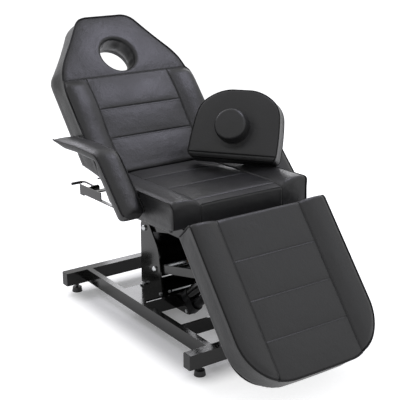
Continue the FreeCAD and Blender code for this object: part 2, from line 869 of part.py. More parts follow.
def arched_row(stops, rise, depth, x0, x1):
    """Panels side by side along the cushion: arcs between the channel seams."""
    edges = [Part.LineSegment(V(x0, stops[0], -depth), V(x0, stops[0], 0)).toShape()]
    for a, b in zip(stops, stops[1:]):
        height = rise * min(1.0, abs(b - a) / (8 * rise))
        edges.append(Part.Arc(V(x0, a, 0), V(x0, (a + b) / 2, height), V(x0, b, 0)).toShape())
    edges.append(Part.LineSegment(V(x0, stops[-1], 0), V(x0, stops[-1], -depth)).toShape())
    edges.append(Part.LineSegment(V(x0, stops[-1], -depth), V(x0, stops[0], -depth)).toShape())
    return Part.Face(Part.Wire(edges)).extrude(V(x1 - x0, 0, 0))


def arched_strip(x0, x1, rise, depth, v0, v1, start=0.0, edge=0.0):
    """One strip along the cushion, arched across: from seam to seam, or from a seam to the edge."""
    edges = [
        Part.LineSegment(V(x0, v0, -depth), V(x0, v0, start)).toShape(),
        Part.Arc(V(x0, v0, start), V((x0 + x1) / 2, v0, rise), V(x1, v0, edge)).toShape(),
        Part.LineSegment(V(x1, v0, edge), V(x1, v0, -depth)).toShape(),
        Part.LineSegment(V(x1, v0, -depth), V(x0, v0, -depth)).toShape(),
    ]
    return Part.Face(Part.Wire(edges)).extrude(V(0, v1 - v0, 0))


def panel_top(seam, half_width, stops, depth):
    """Centre panels crowned both ways and sunk at their seams, and a raised bolster on each side."""
    low, high = min(stops), max(stops)
    row = arched_row(stops, crown, depth, -seam, seam)
    strip = arched_strip(-seam, seam, 1.6 * crown, depth, low, high)
    centre = row.common(strip)
    centre.translate(V(0, 0, -seam_sink))
    side = arched_strip(
        seam, half_width + soft_gap, bolster_crown, depth + seam_sink, low, high, -seam_sink, bolster_edge
    )
    return centre.fuse(pair(side)).removeSplitter()


def end_profile(points, half_width):
    return plate_yz(points, -half_width - cut_over, half_width + cut_over)


def seat_cushion():
    half = seat_width / 2
    depth = cushion_thickness
    corner = 1.6 * edge_round
    plan = [(-half, -seat_depth, corner), (half, -seat_depth, corner), (half, 0.0, corner), (-half, 0.0, corner)]
    body = soft_body(plan, depth)
    stops = [0.0] + [-share * seat_depth for share in seat_channel_shares] + [-seat_depth]
    top = panel_top(seat_seam, half, stops, depth + cut_over)
    high = bolster_crown + 2 * crown
    rear_slope = 0.73
    ends = end_profile(
        [
            (-seat_depth, -depth), (-rear_slope * depth, -depth), (0.0, -0.7 * edge_round),
            (-2 * edge_round, high), (-seat_depth, 1.1 * bolster_crown, front_roll),
        ],
        half,
    )
    return on_seat(body.common(top).common(ends).removeSplitter())


def back_plan():
    half = back_width / 2
    tip = back_top_width / 2
    return [
        (-half, 0.0, edge_round),
        (half, 0.0, edge_round),
        (half, back_shoulder, 4 * edge_round),
        (tip, back_length, 2.4 * edge_round),
        (-tip, back_length, 2.4 * edge_round),
        (-half, back_shoulder, 4 * edge_round),
    ]


def back_cushion():
    half = back_width / 2
    depth = cushion_thickness
    body = soft_body(back_plan(), depth)
    channels = [share * back_length for share in back_channel_shares]
    stops = [0.0] + channels
    lower = panel_top(back_seam, half, stops, depth + cut_over)
    head_stops = [channels[-1], back_length]
    head = arched_row(head_stops, 1.5 * crown, depth + cut_over, -half - soft_gap, half + soft_gap)
    head.translate(V(0, 0, -0.5 * seam_sink))
    high = bolster_crown + 2 * crown
    ends = end_profile(
        [
            (2 * edge_round, high), (0.0, -0.7 * edge_round), (depth, -depth),
            (back_length, -depth), (back_length, -0.34 * edge_round), (back_length - 2.5 * edge_round, high),
        ],
        half,
    )
    cushion = body.common(lower.fuse(head)).common(ends)
    hole = Part.makeCylinder(face_hole_radius, depth + 2 * cut_over, V(0, face_hole_place, -depth - cut_over), UP)
    dish_low = -0.75 * face_hole_dish
    dish = Part.makeCone(
        face_hole_radius, face_hole_radius + 2 * face_hole_dish, 1.5 * face_hole_dish,
        V(0, face_hole_place, dish_low), UP,
    )
    return on_back(cushion.cut(hole).cut(dish).removeSplitter())


def leg_plan():
    half = leg_width / 2
    return [
        (-half, -leg_length, 0.25 * leg_width),
        (half, -leg_length, 0.25 * leg_width),
        (half, 0.0, edge_round),
        (-half, 0.0, edge_round),
    ]


def leg_cushion():
    half = leg_width / 2
    depth = cushion_thickness
    body = soft_body(leg_plan(), depth)
    stops = [0.0] + [-share * leg_length for share in leg_channel_shares] + [-leg_length]
    top = panel_top(leg_seam, half, stops, depth + cut_over)
    high = bolster_crown + 2 * crown
    ends = end_profile(
        [
            (-leg_length, -depth), (-0.13 * depth, -depth), (0.0, 1.1 * bolster_crown, top_roll),
            (-leg_length + 3.7 * edge_round, high), (-leg_length, -0.34 * edge_round),
        ],
        half,
    )
    return on_leg(body.common(top).common(ends).removeSplitter())


def board(plan, low_v, high_v):
    """The plywood under a cushion, a little smaller than its outline."""
    half = seat_width
    sheet = plate_xy(inset_polygon(plan, board_inset), board_low, -cushion_thickness)
    keep = block(-half, half, low_v, high_v, board_low - cut_over, cut_over)
    return sheet.common(keep)


def seat_board():
    half = seat_width / 2
    corner = 1.6 * edge_round
    plan = [(-half, -seat_depth, corner), (half, -seat_depth, corner), (half, 0.0, corner), (-half, 0.0, corner)]
    sheet = board(plan, -0.92 * seat_depth, -1.08 * cushion_thickness)
    return on_seat(sheet)


def back_board():
    sheet = board(back_plan(), 1.2 * cushion_thickness, back_length)
    hole = Part.makeCylinder(
        face_hole_radius * 1.08, board_thickness + 2 * cut_over, V(0, face_hole_place, board_low - cut_over), UP
    )
    return on_back(sheet.cut(hole))


def leg_board():
    return on_leg(board(leg_plan(), -leg_length, -0.1 * leg_length))


# Armrests: a bent plank of foam and cover on a steel strip, with a side bracket on a stud
arm_outer = arm_inner + arm_width
arm_strip = 4.0
arm_edge = 2.6
arm_layer_shares = (
    (0.0, 1.0, 0.0), (0.03, 0.0, 0.22), (0.2, 0.0, 0.72), (0.5, 0.0, 1.0),
    (0.8, 0.0, 0.72), (0.97, 0.0, 0.22), (1.0, 1.0, 0.0),
)


def arm_corners(lift=0.0):
    """Side view of the pad, corner by corner. It falls forward at 45 degrees, its top is level and its
    rear end is drawn to an edge. The top rises by lift from the seam lines."""
    skew = arm_drop_thickness * math.sqrt(0.5)
    tip_y = arm_bend_y - (arm_top_z - arm_end_z)
    under_z = arm_top_z - arm_thickness
    under_y = tip_y + skew + under_z - (arm_end_z - skew)
    rise = lift * math.sqrt(0.5)
    rear_z = arm_top_z - arm_rear_drop
    return [
        (tip_y - 0.5 * rise, arm_end_z + 0.5 * rise, 0.4 * arm_drop_thickness),
        (tip_y + skew, arm_end_z - skew, 0.3 * arm_drop_thickness),
        (under_y, under_z, 1.1 * arm_thickness),
        (arm_rear_y - arm_taper, under_z, 2 * arm_taper),
        (arm_rear_y, rear_z - 0.2 * arm_rear_drop, 0.1 * arm_rear_drop),
        (arm_rear_y, rear_z + 0.2 * lift, 0.1 * arm_rear_drop),
        (arm_rear_y - arm_rise, arm_top_z + lift, arm_rise),
        (arm_bend_y - lift * (math.sqrt(2.0) - 1.0), arm_top_z + lift, 1.7 * arm_drop_thickness),
    ]


def arm_pad():
    """Loft across the pad: flat sides, a crowned top and seams along both long edges."""
    wires = []
    for share, inset_share, lift_share in arm_layer_shares:
        corners = inset_polygon(arm_corners(lift_share * arm_crown), inset_share * arm_edge)
        x = arm_inner + share * arm_width
        wires.append(outline(corners, lambda a, b, x=x: V(x, a, b)))
    return Part.makeLoft(wires, True, True)


bracket_inner = arm_inner + arm_side_gap
bracket_outer = bracket_inner + lug_plate * 0.8
socket_outer = arm_inner - arm_side_gap / 3
socket_inner = socket_outer - lug_plate * 0.8
arm_stud_radius = 6.0
arm_disc = arm_stud_radius * 3.2
under_corner = arm_corners()[2]
strip_shift = arm_strip * math.tan(math.radians(22.5))


def arm_under_strip():
    """The bent steel strip that the pad is screwed to."""
    y, z = under_corner[0], under_corner[1]
    slope = 0.62 * (z - arm_end_z)
    rear = arm_rear_y - 1.4 * arm_width
    skew = arm_strip * math.sqrt(0.5)
    radius = under_corner[2]
    profile = [
        (y - slope, z - slope),
        (y - slope + skew, z - slope - skew),
        (y + strip_shift, z - arm_strip, radius - arm_strip),
        (rear, z - arm_strip),
        (rear, z),
        (y, z, radius),
    ]
    edge = 0.2 * arm_width
    return plate_yz(profile, bracket_inner, arm_outer - edge)


def arm_bracket():
    """The flat side plate between the strip and the stud, welded to the strip."""
    y, z = under_corner[0] + strip_shift, under_corner[1] - arm_strip
    reach = 0.5 * (z - arm_end_z)
    profile = [
        (y - reach, z - reach),
        (arm_pivot_y - 0.8 * arm_disc, arm_pivot_z - arm_disc, 0.6 * arm_disc),
        (arm_pivot_y + arm_disc, arm_pivot_z - arm_disc, arm_disc),
        (y + reach, z),
        (y, z, under_corner[2] - arm_strip),
    ]
    plate = plate_yz(profile, bracket_inner, bracket_outer).fuse(arm_under_strip())
    hole = rod_x(arm_stud_radius + turning_play, arm_inner - cut_over, arm_outer, arm_pivot_y, arm_pivot_z)
    return plate.cut(hole).removeSplitter()


def arm_socket():
    """A strap from the seat rail and a plate beside the seat cushion, with the stud that carries the arm."""
    half = 0.95 * arm_disc
    top = board_low - 0.2 * frame_tube
    v, w = turn_point(arm_pivot_y - seat_y, arm_pivot_z - seat_z, -seat_pitch)
    strap = block(rail_outer, socket_outer, v - half, v + half, top - lug_plate, top)
    plate = plate_yz(
        [
            (v - half, top - lug_plate),
            (v + half, top - lug_plate),
            (v + half, w + half, half * 0.99),
            (v - half, w + half, half),
        ],
        socket_inner, socket_outer,
    )
    stud = rod_x(arm_stud_radius, socket_inner, bracket_outer + 2.2 * lug_plate, v, w)
    return on_seat(strap.fuse([plate, stud]).removeSplitter())


def star_knob():
    """A five-lobed clamp knob on the end of the stud."""
    x0 = bracket_outer + soft_gap
    depth = 3.2 * lug_plate
    knob = rod_x(arm_disc * 0.62, x0, x0 + depth, arm_pivot_y, arm_pivot_z)
    lobes = 5
    for k in range(lobes):
        a = 2 * math.pi * k / lobes
        y = arm_pivot_y + 0.66 * arm_disc * math.cos(a)
        z = arm_pivot_z + 0.66 * arm_disc * math.sin(a)
        knob = knob.fuse(rod_x(arm_disc * 0.3, x0 + 0.3 * depth, x0 + depth, y, z))
    hole = rod_x(arm_stud_radius + turning_play, x0 - cut_over, bracket_outer + 2.3 * lug_plate, arm_pivot_y, arm_pivot_z)
    return knob.cut(hole).removeSplitter()


# Recline lever behind the seat: a bent rod with a grip, on a hub beside the left rail
lever_x = -rail_outer + rail_plate
hub_radius = 12.0
hub_length = 62.0
lever_stud_radius = 4.0
lever_rod_radius = 4.0
lever_bend = 14.0
grip_radius = 6.0
grip_length = 46.0
lever_v = 0.488 * seat_depth
lever_w = board_low - 0.45 * rail_drop
lever_reach = 104.0
lever_y, lever_z = seat_point(lever_v, lever_w)
lever_rod_x = lever_x + hub_length - 2 * lever_rod_radius
grip_x0 = -rail_outer - 0.5 * rail_plate


def lever_stud():
    """The stud on the rail that the hub turns on, with its end washer."""
    stud = rod_x(lever_stud_radius, lever_x, lever_x + hub_length + soft_gap, lever_y, lever_z)
    washer = rod_x(
        0.6 * hub_radius, lever_x + hub_length + soft_gap, lever_x + hub_length + 3 * soft_gap, lever_y, lever_z
    )
    return stud.fuse(washer).removeSplitter()


def recline_lever():
    """The hub and its rod: straight back from the hub, then bent outwards past the rail."""
    hub = rod_x(hub_radius, lever_x + hub_length - 2.5 * hub_radius, lever_x + hub_length, lever_y, lever_z)
    hub = hub.fuse(rod_x(0.65 * hub_radius, lever_x + soft_gap, lever_x + hub_length, lever_y, lever_z))
    start = V(lever_rod_x, lever_y, lever_z)
    knee = V(lever_rod_x, lever_y + lever_reach - lever_bend, lever_z)
    after = V(lever_rod_x - lever_bend, lever_y + lever_reach, lever_z)
    end = V(grip_x0 + 0.9 * grip_length, lever_y + lever_reach, lever_z)
    tip = V(grip_x0 + 0.1 * grip_length, lever_y + lever_reach, lever_z)
    share = 1 - math.sqrt(0.5)
    middle = V(lever_rod_x - share * lever_bend, lever_y + lever_reach - share * lever_bend, lever_z)
    path = Part.Wire([
        Part.LineSegment(start, knee).toShape(),
        Part.Arc(knee, middle, after).toShape(),
        Part.LineSegment(after, end).toShape(),
        Part.LineSegment(end, tip).toShape(),
    ])
    ring = Part.Wire(Part.Circle(start, V(0, 1, 0), lever_rod_radius).toShape())
    rod = path.makePipeShell([ring], True, False)
    hole = rod_x(lever_stud_radius + turning_play, lever_x - cut_over, lever_x + hub_length + cut_over, lever_y, lever_z)
    return hub.fuse(rod).cut(hole).removeSplitter()


def lever_grip():
    """A push-on grip over the end of the rod."""
    y = lever_y + lever_reach
    grip = rod_x(grip_radius, grip_x0, grip_x0 + grip_length, y, lever_z)
    return grip.cut(rod_x(lever_rod_radius, grip_x0 + 0.1 * grip_length, grip_x0 + grip_length + cut_over, y, lever_z))


# Electric actuator between the front crossbar and the moving head
actuator_x = -28.0
actuator_foot_lead = 168.0
actuator_foot_z = 58.0
actuator_pin_radius = 5.0
actuator_tube_radius = 17.0
actuator_rod_radius = 10.0
gear_radius = 23.0
motor_radius = 29.0
motor_offset = 50.0
motor_length = 118.0
gear_start = 20.0
gear_length = 44.0
actuator_foot_y = lower_pivot_y - actuator_foot_lead


def along_actuator():
    dy = head_low_y - actuator_foot_y
    dz = head_low_z - actuator_foot_z
    return math.hypot(dy, dz), math.degrees(math.atan2(dz, -dy))


actuator_length, actuator_angle = along_actuator()


def on_actuator(shape):
    """Place a piece that was drawn along -Y from its foot pin."""
    copy = turned(shape, -actuator_angle, V(0, 0, 0))
    copy.translate(V(actuator_x, actuator_foot_y, actuator_foot_z))
    return copy


def actuator_housing():
    eye_half = 0.45 * gear_radius
    back = V(0, -1, 0)
    eye = rod_x(0.72 * gear_radius, -eye_half, eye_half, 0, 0)
    neck = block(-eye_half, eye_half, -gear_start, 0, -0.5 * gear_radius, 0.5 * gear_radius)
    low = Part.makeCylinder(gear_radius, gear_length, V(0, -gear_start, 0), back)
    high = Part.makeCylinder(motor_radius, gear_length, V(0, -gear_start, motor_offset), back)
    waist = block(-gear_radius, gear_radius, -gear_start - gear_length, -gear_start, 0, motor_offset)
    tube_end = 0.86 * actuator_length
    tube = Part.makeCylinder(actuator_tube_radius, tube_end - gear_start, V(0, -gear_start, 0), back)
    housing = low.fuse([high, waist, eye, neck, tube])
    bore_start = gear_start + gear_length
    bore = Part.makeCylinder(actuator_rod_radius + turning_play, tube_end, V(0, -bore_start, 0), back)
    hole = rod_x(actuator_pin_radius + turning_play, -cut_over, cut_over, 0, 0)
    return on_actuator(housing.cut(bore).cut(hole).removeSplitter())


def actuator_motor():
    start = -gear_start - gear_length
    can = Part.makeCylinder(motor_radius * 0.93, motor_length, V(0, start, motor_offset), V(0, -1, 0))
    cap = Part.makeCylinder(motor_radius * 0.7, 0.1 * motor_length, V(0, start - motor_length, motor_offset), V(0, -1, 0))
    gland_at = V(0, start - 0.8 * motor_length, motor_offset + 0.85 * motor_radius)
    gland = Part.makeCylinder(stud_radius, 0.6 * motor_radius, gland_at, UP)
    return on_actuator(can.fuse([cap, gland]).removeSplitter())


def actuator_rod():
    eye_bore = shaft_radius + actuator_eye_play
    eye_outer = eye_bore + 0.8 * shaft_radius
    root = 0.38 * actuator_length
    rod = Part.makeCylinder(
        actuator_rod_radius, actuator_length - root - eye_bore, V(0, -root, 0), V(0, -1, 0)
    )
    eye = rod_x(eye_outer, -actuator_rod_radius, actuator_rod_radius, -actuator_length, 0)
    shape = rod.fuse(eye).cut(rod_x(eye_bore, -cut_over, cut_over, -actuator_length, 0))
    return on_actuator(shape.removeSplitter())


def actuator_ears():
    """Two ears on the middle crossbar that hold the actuator's foot pin."""
    eye_half = 0.45 * gear_radius
    x0 = eye_half + soft_gap
    x1 = x0 + lug_plate
    half = 2.6 * actuator_pin_radius
    profile = [
        (actuator_foot_y - half, actuator_foot_z - half, half),
        (crossbar_a_y, tube_top - 0.95 * rail_height),
        (crossbar_a_y, tube_top - 0.12 * rail_height),
        (actuator_foot_y - half, actuator_foot_z + half, half * 0.99),
    ]
    ears = []
    for side in (-1, 1):
        a, b = sorted((actuator_x + side * x0, actuator_x + side * x1))
        ear = plate_yz(profile, a, b)
        ears.append(ear.cut(rod_x(actuator_pin_radius, a - cut_over, b + cut_over, actuator_foot_y, actuator_foot_z)))
    return ears


def actuator_pin():
    reach = 0.45 * gear_radius + soft_gap + lug_plate
    head = 0.8 * actuator_pin_radius
    pin = rod_x(
        actuator_pin_radius, actuator_x - reach, actuator_x + reach, actuator_foot_y, actuator_foot_z
    )
    for x0 in (actuator_x - reach - head, actuator_x + reach):
        pin = pin.fuse(rod_x(1.6 * actuator_pin_radius, x0, x0 + head, actuator_foot_y, actuator_foot_z))
    return pin.removeSplitter()


# Head pillow: a D-shaped cushion with a round plug, leaning on the right arm
def pillow_plan(by):
    """The D outline: a flat base, sides that swell, and a round top."""
    base = pillow_base_width / 2 - by
    half = pillow_width / 2 - by
    low = by
    high = pillow_height - by
    return [
        (-base, low, 0.06 * pillow_width),
        (base, low, 0.06 * pillow_width),
        (half, low + 0.42 * (high - low), 0.22 * pillow_width),
        (0.72 * half, high, 0.3 * pillow_width),
        (-0.72 * half, high, 0.3 * pillow_width),
        (-half, low + 0.42 * (high - low), 0.22 * pillow_width),
    ]


def on_pillow(shape):
    """Stand the pillow up, lean it back, turn it and set it down on the seat."""
    copy = turned(shape, pillow_tilt_angle, V(0, 0, 0), UP)
    copy = turned(copy, 90.0 - pillow_lean_angle, V(0, 0, 0))
    copy = turned(copy, pillow_turn_angle, V(0, 0, 0), UP)
    copy.translate(V(pillow_x, seat_y - pillow_lead, pillow_z))
    return copy


def pillow_body():
    layers = (
        (-pillow_thickness, 1.2 * edge_round),
        (-pillow_thickness + 0.8 * edge_round, 0.1 * edge_round),
        (-0.5 * pillow_thickness, 0.35 * edge_round),
        (-0.8 * edge_round, 0.1 * edge_round),
        (0.0, 1.2 * edge_round),
    )
    wires = [outline(pillow_plan(by), lambda a, b, h=h: V(a, b, h)) for h, by in layers]
    return on_pillow(Part.makeLoft(wires, True, True))


def pillow_plug():
    drum = Part.makeCylinder(plug_radius, plug_reach, V(0, plug_rise, 0), UP)
    rim = drum.Edges[0]
    for edge in drum.Edges:
        if edge.BoundBox.ZMin > 0.9 * plug_reach:
            rim = edge
    return on_pillow(drum.makeFillet(0.25 * plug_radius, [rim]))


def build():
    os.makedirs("parts", exist_ok=True)
    save("base_end_tubes", end_tube(rear_tube_y), end_tube(front_tube_y))
    save("base_side_rails", *side_rails())
    save("base_crossbars", *crossbars())
    save("base_deck", deck())
    save("tube_end_caps", *tube_caps())
    for y, end in ((rear_tube_y, "rear"), (front_tube_y, "front")):
        for side, hand in ((-1, "left"), (1, "right")):
            x = side * (tube_length / 2 - foot_inset)
            save("levelling_foot_" + end + "_" + hand, *levelling_foot(x, y))
    save("column", column())
    save("column_flange", column_flange(), *stop_bar_ears())
    save("column_flange_bolts", *flange_bolts())
    save("column_pivot_shafts", *column_shafts())
    save("stop_bar", stop_bar())
    save("actuator_ears", *actuator_ears())
    save("actuator_foot_pin", actuator_pin())
    save("lower_link_arms", *link_arms(lower_pivot_y, lower_pivot_z))
    save("lower_link_bushes", *link_bushes(lower_pivot_y, lower_pivot_z))
    save("lower_head_shaft", head_shaft(head_low_y, head_low_z))
    save("upper_link_arms", *link_arms(upper_pivot_y, upper_pivot_z))
    save("upper_link_bushes", *link_bushes(upper_pivot_y, upper_pivot_z))
    save("upper_head_shaft", head_shaft(head_high_y, head_high_z))
    save("lift_head", lift_head())
    save("seat_rails", *seat_rails())
    save("seat_cross_tubes", *seat_cross_tubes(), *strut_lugs())
    save("back_hinge_ears", *back_hinge_ears())
    save("back_hinge_pins", *hinge_pins(
        ear_outer, back_lug_inner, hinge_pin_radius, back_hinge_y, back_hinge_z))
    save("leg_hinge_lugs", *leg_hinge_lugs())
    save("leg_hinge_pins", *hinge_pins(
        seat_lug_outer, leg_lug_inner, leg_pin_radius, leg_hinge_y, leg_hinge_z))
    save("strut_anchor_pins", strut_pin(0.0, back_anchor_y, back_anchor_z), strut_pin(
        leg_strut_x, leg_anchor_y, leg_anchor_z))
    save("seat_board", seat_board())
    save("seat_cushion", seat_cushion())
    save("back_frame", *back_frame(), *back_crank())
    save("back_crank_pin", strut_pin(0.0, crank_y, crank_z))
    save("back_board", back_board())
    save("back_cushion", back_cushion())
    save("leg_frame", *leg_frame())
    save("leg_strut_pin", strut_pin(leg_strut_x, leg_eye_y, leg_eye_z))
    save("leg_board", leg_board())
    save("leg_cushion", leg_cushion())
    eye_bore = strut_pin_radius + strut_eye_play
    save("back_strut_cylinder", strut_cylinder(0.0, back_anchor_y, back_anchor_z, crank_y, crank_z, 0.6))
    save("back_strut_rod", strut_rod(0.0, back_anchor_y, back_anchor_z, crank_y, crank_z, 0.42, eye_bore))
    save("leg_strut_cylinder", strut_cylinder(
        leg_strut_x, leg_anchor_y, leg_anchor_z, leg_eye_y, leg_eye_z, 0.82))
    save("leg_strut_rod", strut_rod(
        leg_strut_x, leg_anchor_y, leg_anchor_z, leg_eye_y, leg_eye_z, 0.46, eye_bore))
    save("actuator_housing", actuator_housing())
    save("actuator_motor", actuator_motor())
    save("actuator_rod", actuator_rod())
    arm_pieces = (
        ("arm_pad_", arm_pad()),
        ("arm_bracket_", arm_bracket()),
        ("arm_knob_", star_knob()),
    )
    for name, piece in arm_pieces:
        save(name + "right", piece)
        save(name + "left", flipped(piece))
    save("arm_sockets", *pair(arm_socket()))
    save("lever_stud", lever_stud())
    save("recline_lever", recline_lever())
    save("lever_grip", lever_grip())
    save("head_pillow", pillow_body())
    save("pillow_plug", pillow_plug())


build()
print("seat rear edge", round(seat_y, 2), round(seat_z, 2))
print("back hinge", round(back_hinge_y, 2), round(back_hinge_z, 2))
print("leg hinge", round(leg_hinge_y, 2), round(leg_hinge_z, 2))
print("head pins", round(head_low_y, 2), round(head_low_z, 2), round(head_high_y, 2), round(head_high_z, 2))
print("back strut", round(back_anchor_y, 2), round(back_anchor_z, 2), round(crank_y, 2), round(crank_z, 2))
print("leg strut", round(leg_anchor_y, 2), round(leg_anchor_z, 2), round(leg_eye_y, 2), round(leg_eye_z, 2))
print("actuator", round(actuator_length, 2), round(actuator_angle, 3))
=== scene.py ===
# %% [markdown]
# Tattoo chair: a dressed model on top of its CAD frame
# The metal frame of this chair is fixed already, as CAD solids with real joints. Here every solid gets
# the finish of the real material, and the soft parts are made anew: three cushions, two arm pads and a
# head pillow with its plug. Lengths in the tables below are in millimetres, as an upholsterer would
# note them, and they become metres when a mesh is made.

# %% Load the fixed frame
import json
import math
import bpy
import numpy as np
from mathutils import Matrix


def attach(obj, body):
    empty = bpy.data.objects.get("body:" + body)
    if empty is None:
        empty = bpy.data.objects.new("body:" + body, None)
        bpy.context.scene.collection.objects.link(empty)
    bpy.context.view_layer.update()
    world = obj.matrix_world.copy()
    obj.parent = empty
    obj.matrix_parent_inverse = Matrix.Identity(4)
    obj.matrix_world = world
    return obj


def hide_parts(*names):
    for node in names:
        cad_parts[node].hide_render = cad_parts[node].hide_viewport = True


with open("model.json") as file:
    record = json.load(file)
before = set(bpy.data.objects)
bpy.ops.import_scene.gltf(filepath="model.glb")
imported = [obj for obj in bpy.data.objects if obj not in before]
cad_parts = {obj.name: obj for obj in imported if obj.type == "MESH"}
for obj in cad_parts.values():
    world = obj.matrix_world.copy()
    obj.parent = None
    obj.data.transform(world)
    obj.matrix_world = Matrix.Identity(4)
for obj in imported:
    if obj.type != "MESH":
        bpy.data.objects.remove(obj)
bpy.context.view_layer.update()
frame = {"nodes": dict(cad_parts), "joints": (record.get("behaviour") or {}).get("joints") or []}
MM = 0.001

# %% [markdown]
# The camera
# The photograph was taken from the front left, a little above the seat, with a fairly long lens. The
# camera's place was solved from the rectangles of the base and the cushions, so it is written down as
# a place and a point to look at, and one function turns these two into a position and three axes.

# %% Camera
CAMERA_PLACE, CAMERA_TARGET = (-2.043, -2.9585, 1.683), (-0.017, -0.0505, 0.530)


def aim(thing, place, target):
    """Put a lamp or camera at place, with its -Z axis pointing at target and its Y axis upwards."""
    place, target = np.array(place, float), np.array(target, float)
    back = (place - target) / np.linalg.norm(place - target)
    right = np.cross((0.0, 0.0, 1.0), back)
    right /= np.linalg.norm(right)
    up = np.cross(back, right)
    thing.matrix_world = [[*right, 0.0], [*up, 0.0], [*back, 0.0], [*place, 1.0]]


camera_data = bpy.data.cameras.new("studio_camera")
camera_data.lens = 88.31
camera_data.sensor_width = 36.0
camera = bpy.data.objects.new("studio_camera", camera_data)
bpy.context.scene.collection.objects.link(camera)
aim(camera, CAMERA_PLACE, CAMERA_TARGET)
bpy.context.scene.camera = camera
bpy.context.scene.view_settings.view_transform = "Standard"
print("camera at", [round(c, 3) for c in camera.location])

# %% [markdown]
# Colours and nodes
# A paint or a hide is named by the colour that one sees, which is an sRGB value. Blender's shaders
# count in linear light, so one function turns a hex value into that. A second function adds one node
# with its settings and links. Each material below starts empty, adds its patterns one by one, and is
# closed by a shader that they feed, so it stays as short as its recipe.

# %% Colour and node helpers
def linear(hex_code, alpha=1.0):
    """sRGB hex to linear light: the lowest values are divided by 12.92, the others follow a 2.4 power."""
    srgb = np.array([int(hex_code[i:i + 2], 16) for i in (1, 3, 5)]) / 255.0
    light = np.where(srgb <= 0.04045, srgb / 12.92, ((srgb + 0.055) / 1.055) ** 2.4)
    return (*light.tolist(), alpha)


def add(tree, kind, inputs=(), stops=(), **settings):
    """Add one node. An input that is a pair (node, output) is a link, any other is a value. The two stops
    of a colour ramp are (place, hex colour)."""
    node = tree.nodes.new("ShaderNode" + kind)
    for name, value in settings.items():
        setattr(node, name, value)
    for number, (place, colour) in enumerate(stops):
        node.color_ramp.elements[number].position = place
        node.color_ramp.elements[number].color = linear(colour)
    for name, value in dict(inputs).items():
        socket = node.inputs[name]
        if isinstance(value, tuple) and isinstance(value[0], bpy.types.Node):
            tree.links.new(value[0].outputs[value[1]], socket)
        else:
            socket.default_value = value
    return node


def start_material(name):
    """An empty material. Returns the material, its tree and the coordinates that its patterns lie on."""
    material = bpy.data.materials.new(name)
    material.use_nodes = True
    tree = material.node_tree
    tree.nodes.clear()
    return material, tree, (add(tree, "TexCoord"), "Object")


def close_material(tree, inputs):
    """The Principled shader with its values and links, and the output that it feeds."""
    shader = add(tree, "BsdfPrincipled", inputs)
    add(tree, "OutputMaterial", {"Surface": (shader, "BSDF")})


def spread(pattern, low, high):
    """Settings that carry the middle of a noise, from 0.3 to 0.7, over to the range from low to high."""
    return {"Value": pattern, "From Min": 0.3, "From Max": 0.7, "To Min": low, "To Max": high}


print("mid grey is", [round(c, 3) for c in linear("#808080")])

# %% [markdown]
# The studio
# The object was photographed on white paper in soft light. Four wide lamps give that: one above, a
# weak one in front and two strong ones behind, whose light runs along the cushions' edges. The paper
# is a wide plane. Lit paper is never quite as white as the picture's edge, so rays that come straight
# from the camera, or by way of gloss or glass, see light added to it. In a rounded rectangle under the
# chair little is added, so the paper there is darker: a painted shadow round the chair's base, which
# lies over the real shadow that the lamps cast.

# %% Paper floor and white surroundings
FLOOR_HALF = 14.0
# LIFT_NEAR and the SHADE_ sizes set the painted shadow: a darker rounded rectangle of paper round the chair's
# base.
LIFT_NEAR, LIFT_FAR = 0.16, 0.72
SHADE_MIDDLE, SHADE_HALF, SHADE_FADE = (-0.04, 0.07), (0.18, 0.43), 0.13


def seen_rays(tree):
    """1 for a ray from the camera, by gloss or through glass, else 0: the greatest of three."""
    rays = add(tree, "LightPath")
    seen = add(tree, "Math", {0: (rays, "Is Camera Ray"), 1: (rays, "Is Glossy Ray")}, operation="MAXIMUM")
    return add(tree, "Math", {0: (seen, 0), 1: (rays, "Is Transmission Ray")}, operation="MAXIMUM")


floor_mesh = bpy.data.meshes.new("paper_floor")
corners = np.array([(-1, -1, 0), (1, -1, 0), (1, 1, 0), (-1, 1, 0)]) * FLOOR_HALF
floor_mesh.from_pydata(corners.tolist(), [], [(0, 1, 2, 3)])
floor = bpy.data.objects.new("paper_floor", floor_mesh)
bpy.context.scene.collection.objects.link(floor)

# Matt white backdrop paper: almost no gloss. The added light grows with the distance from the
# rectangle of painted shadow; that distance is the root of the summed squares of what lies outside it
# in x and in y.
paper, tree, place = start_material("matt_backdrop_paper")
apart = add(tree, "SeparateXYZ", {"Vector": place})
squares = []
for axis, middle, half in zip("XY", SHADE_MIDDLE, SHADE_HALF):
    shifted = add(tree, "Math", {0: (apart, axis), 1: middle}, operation="SUBTRACT")
    size = add(tree, "Math", {0: (shifted, 0)}, operation="ABSOLUTE")
    past = add(tree, "Math", {0: (size, 0), 1: half}, operation="SUBTRACT")
    outside = add(tree, "Math", {0: (past, 0), 1: 0.0}, operation="MAXIMUM")
    squares.append((add(tree, "Math", {0: (outside, 0), 1: 2.0}, operation="POWER"), 0))
total = add(tree, "Math", dict(enumerate(squares)), operation="ADD")
away = add(tree, "Math", {0: (total, 0), 1: 0.5}, operation="POWER")
painted_shadow_fade = add(tree, "MapRange", {
    "Value": (away, 0), "From Min": 0.0, "From Max": SHADE_FADE, "To Min": LIFT_NEAR, "To Max": LIFT_FAR,
}, interpolation_type="SMOOTHSTEP")
lift = add(tree, "Math", {0: (seen_rays(tree), 0), 1: (painted_shadow_fade, "Result")}, operation="MULTIPLY")
close_material(tree, {
    "Base Color": linear("#F4F4F4"), "Roughness": 0.95, "Specular IOR Level": 0.0,
    "Emission Color": linear("#FFFFFF"), "Emission Strength": (lift, 0),
})
floor_mesh.materials.append(paper)

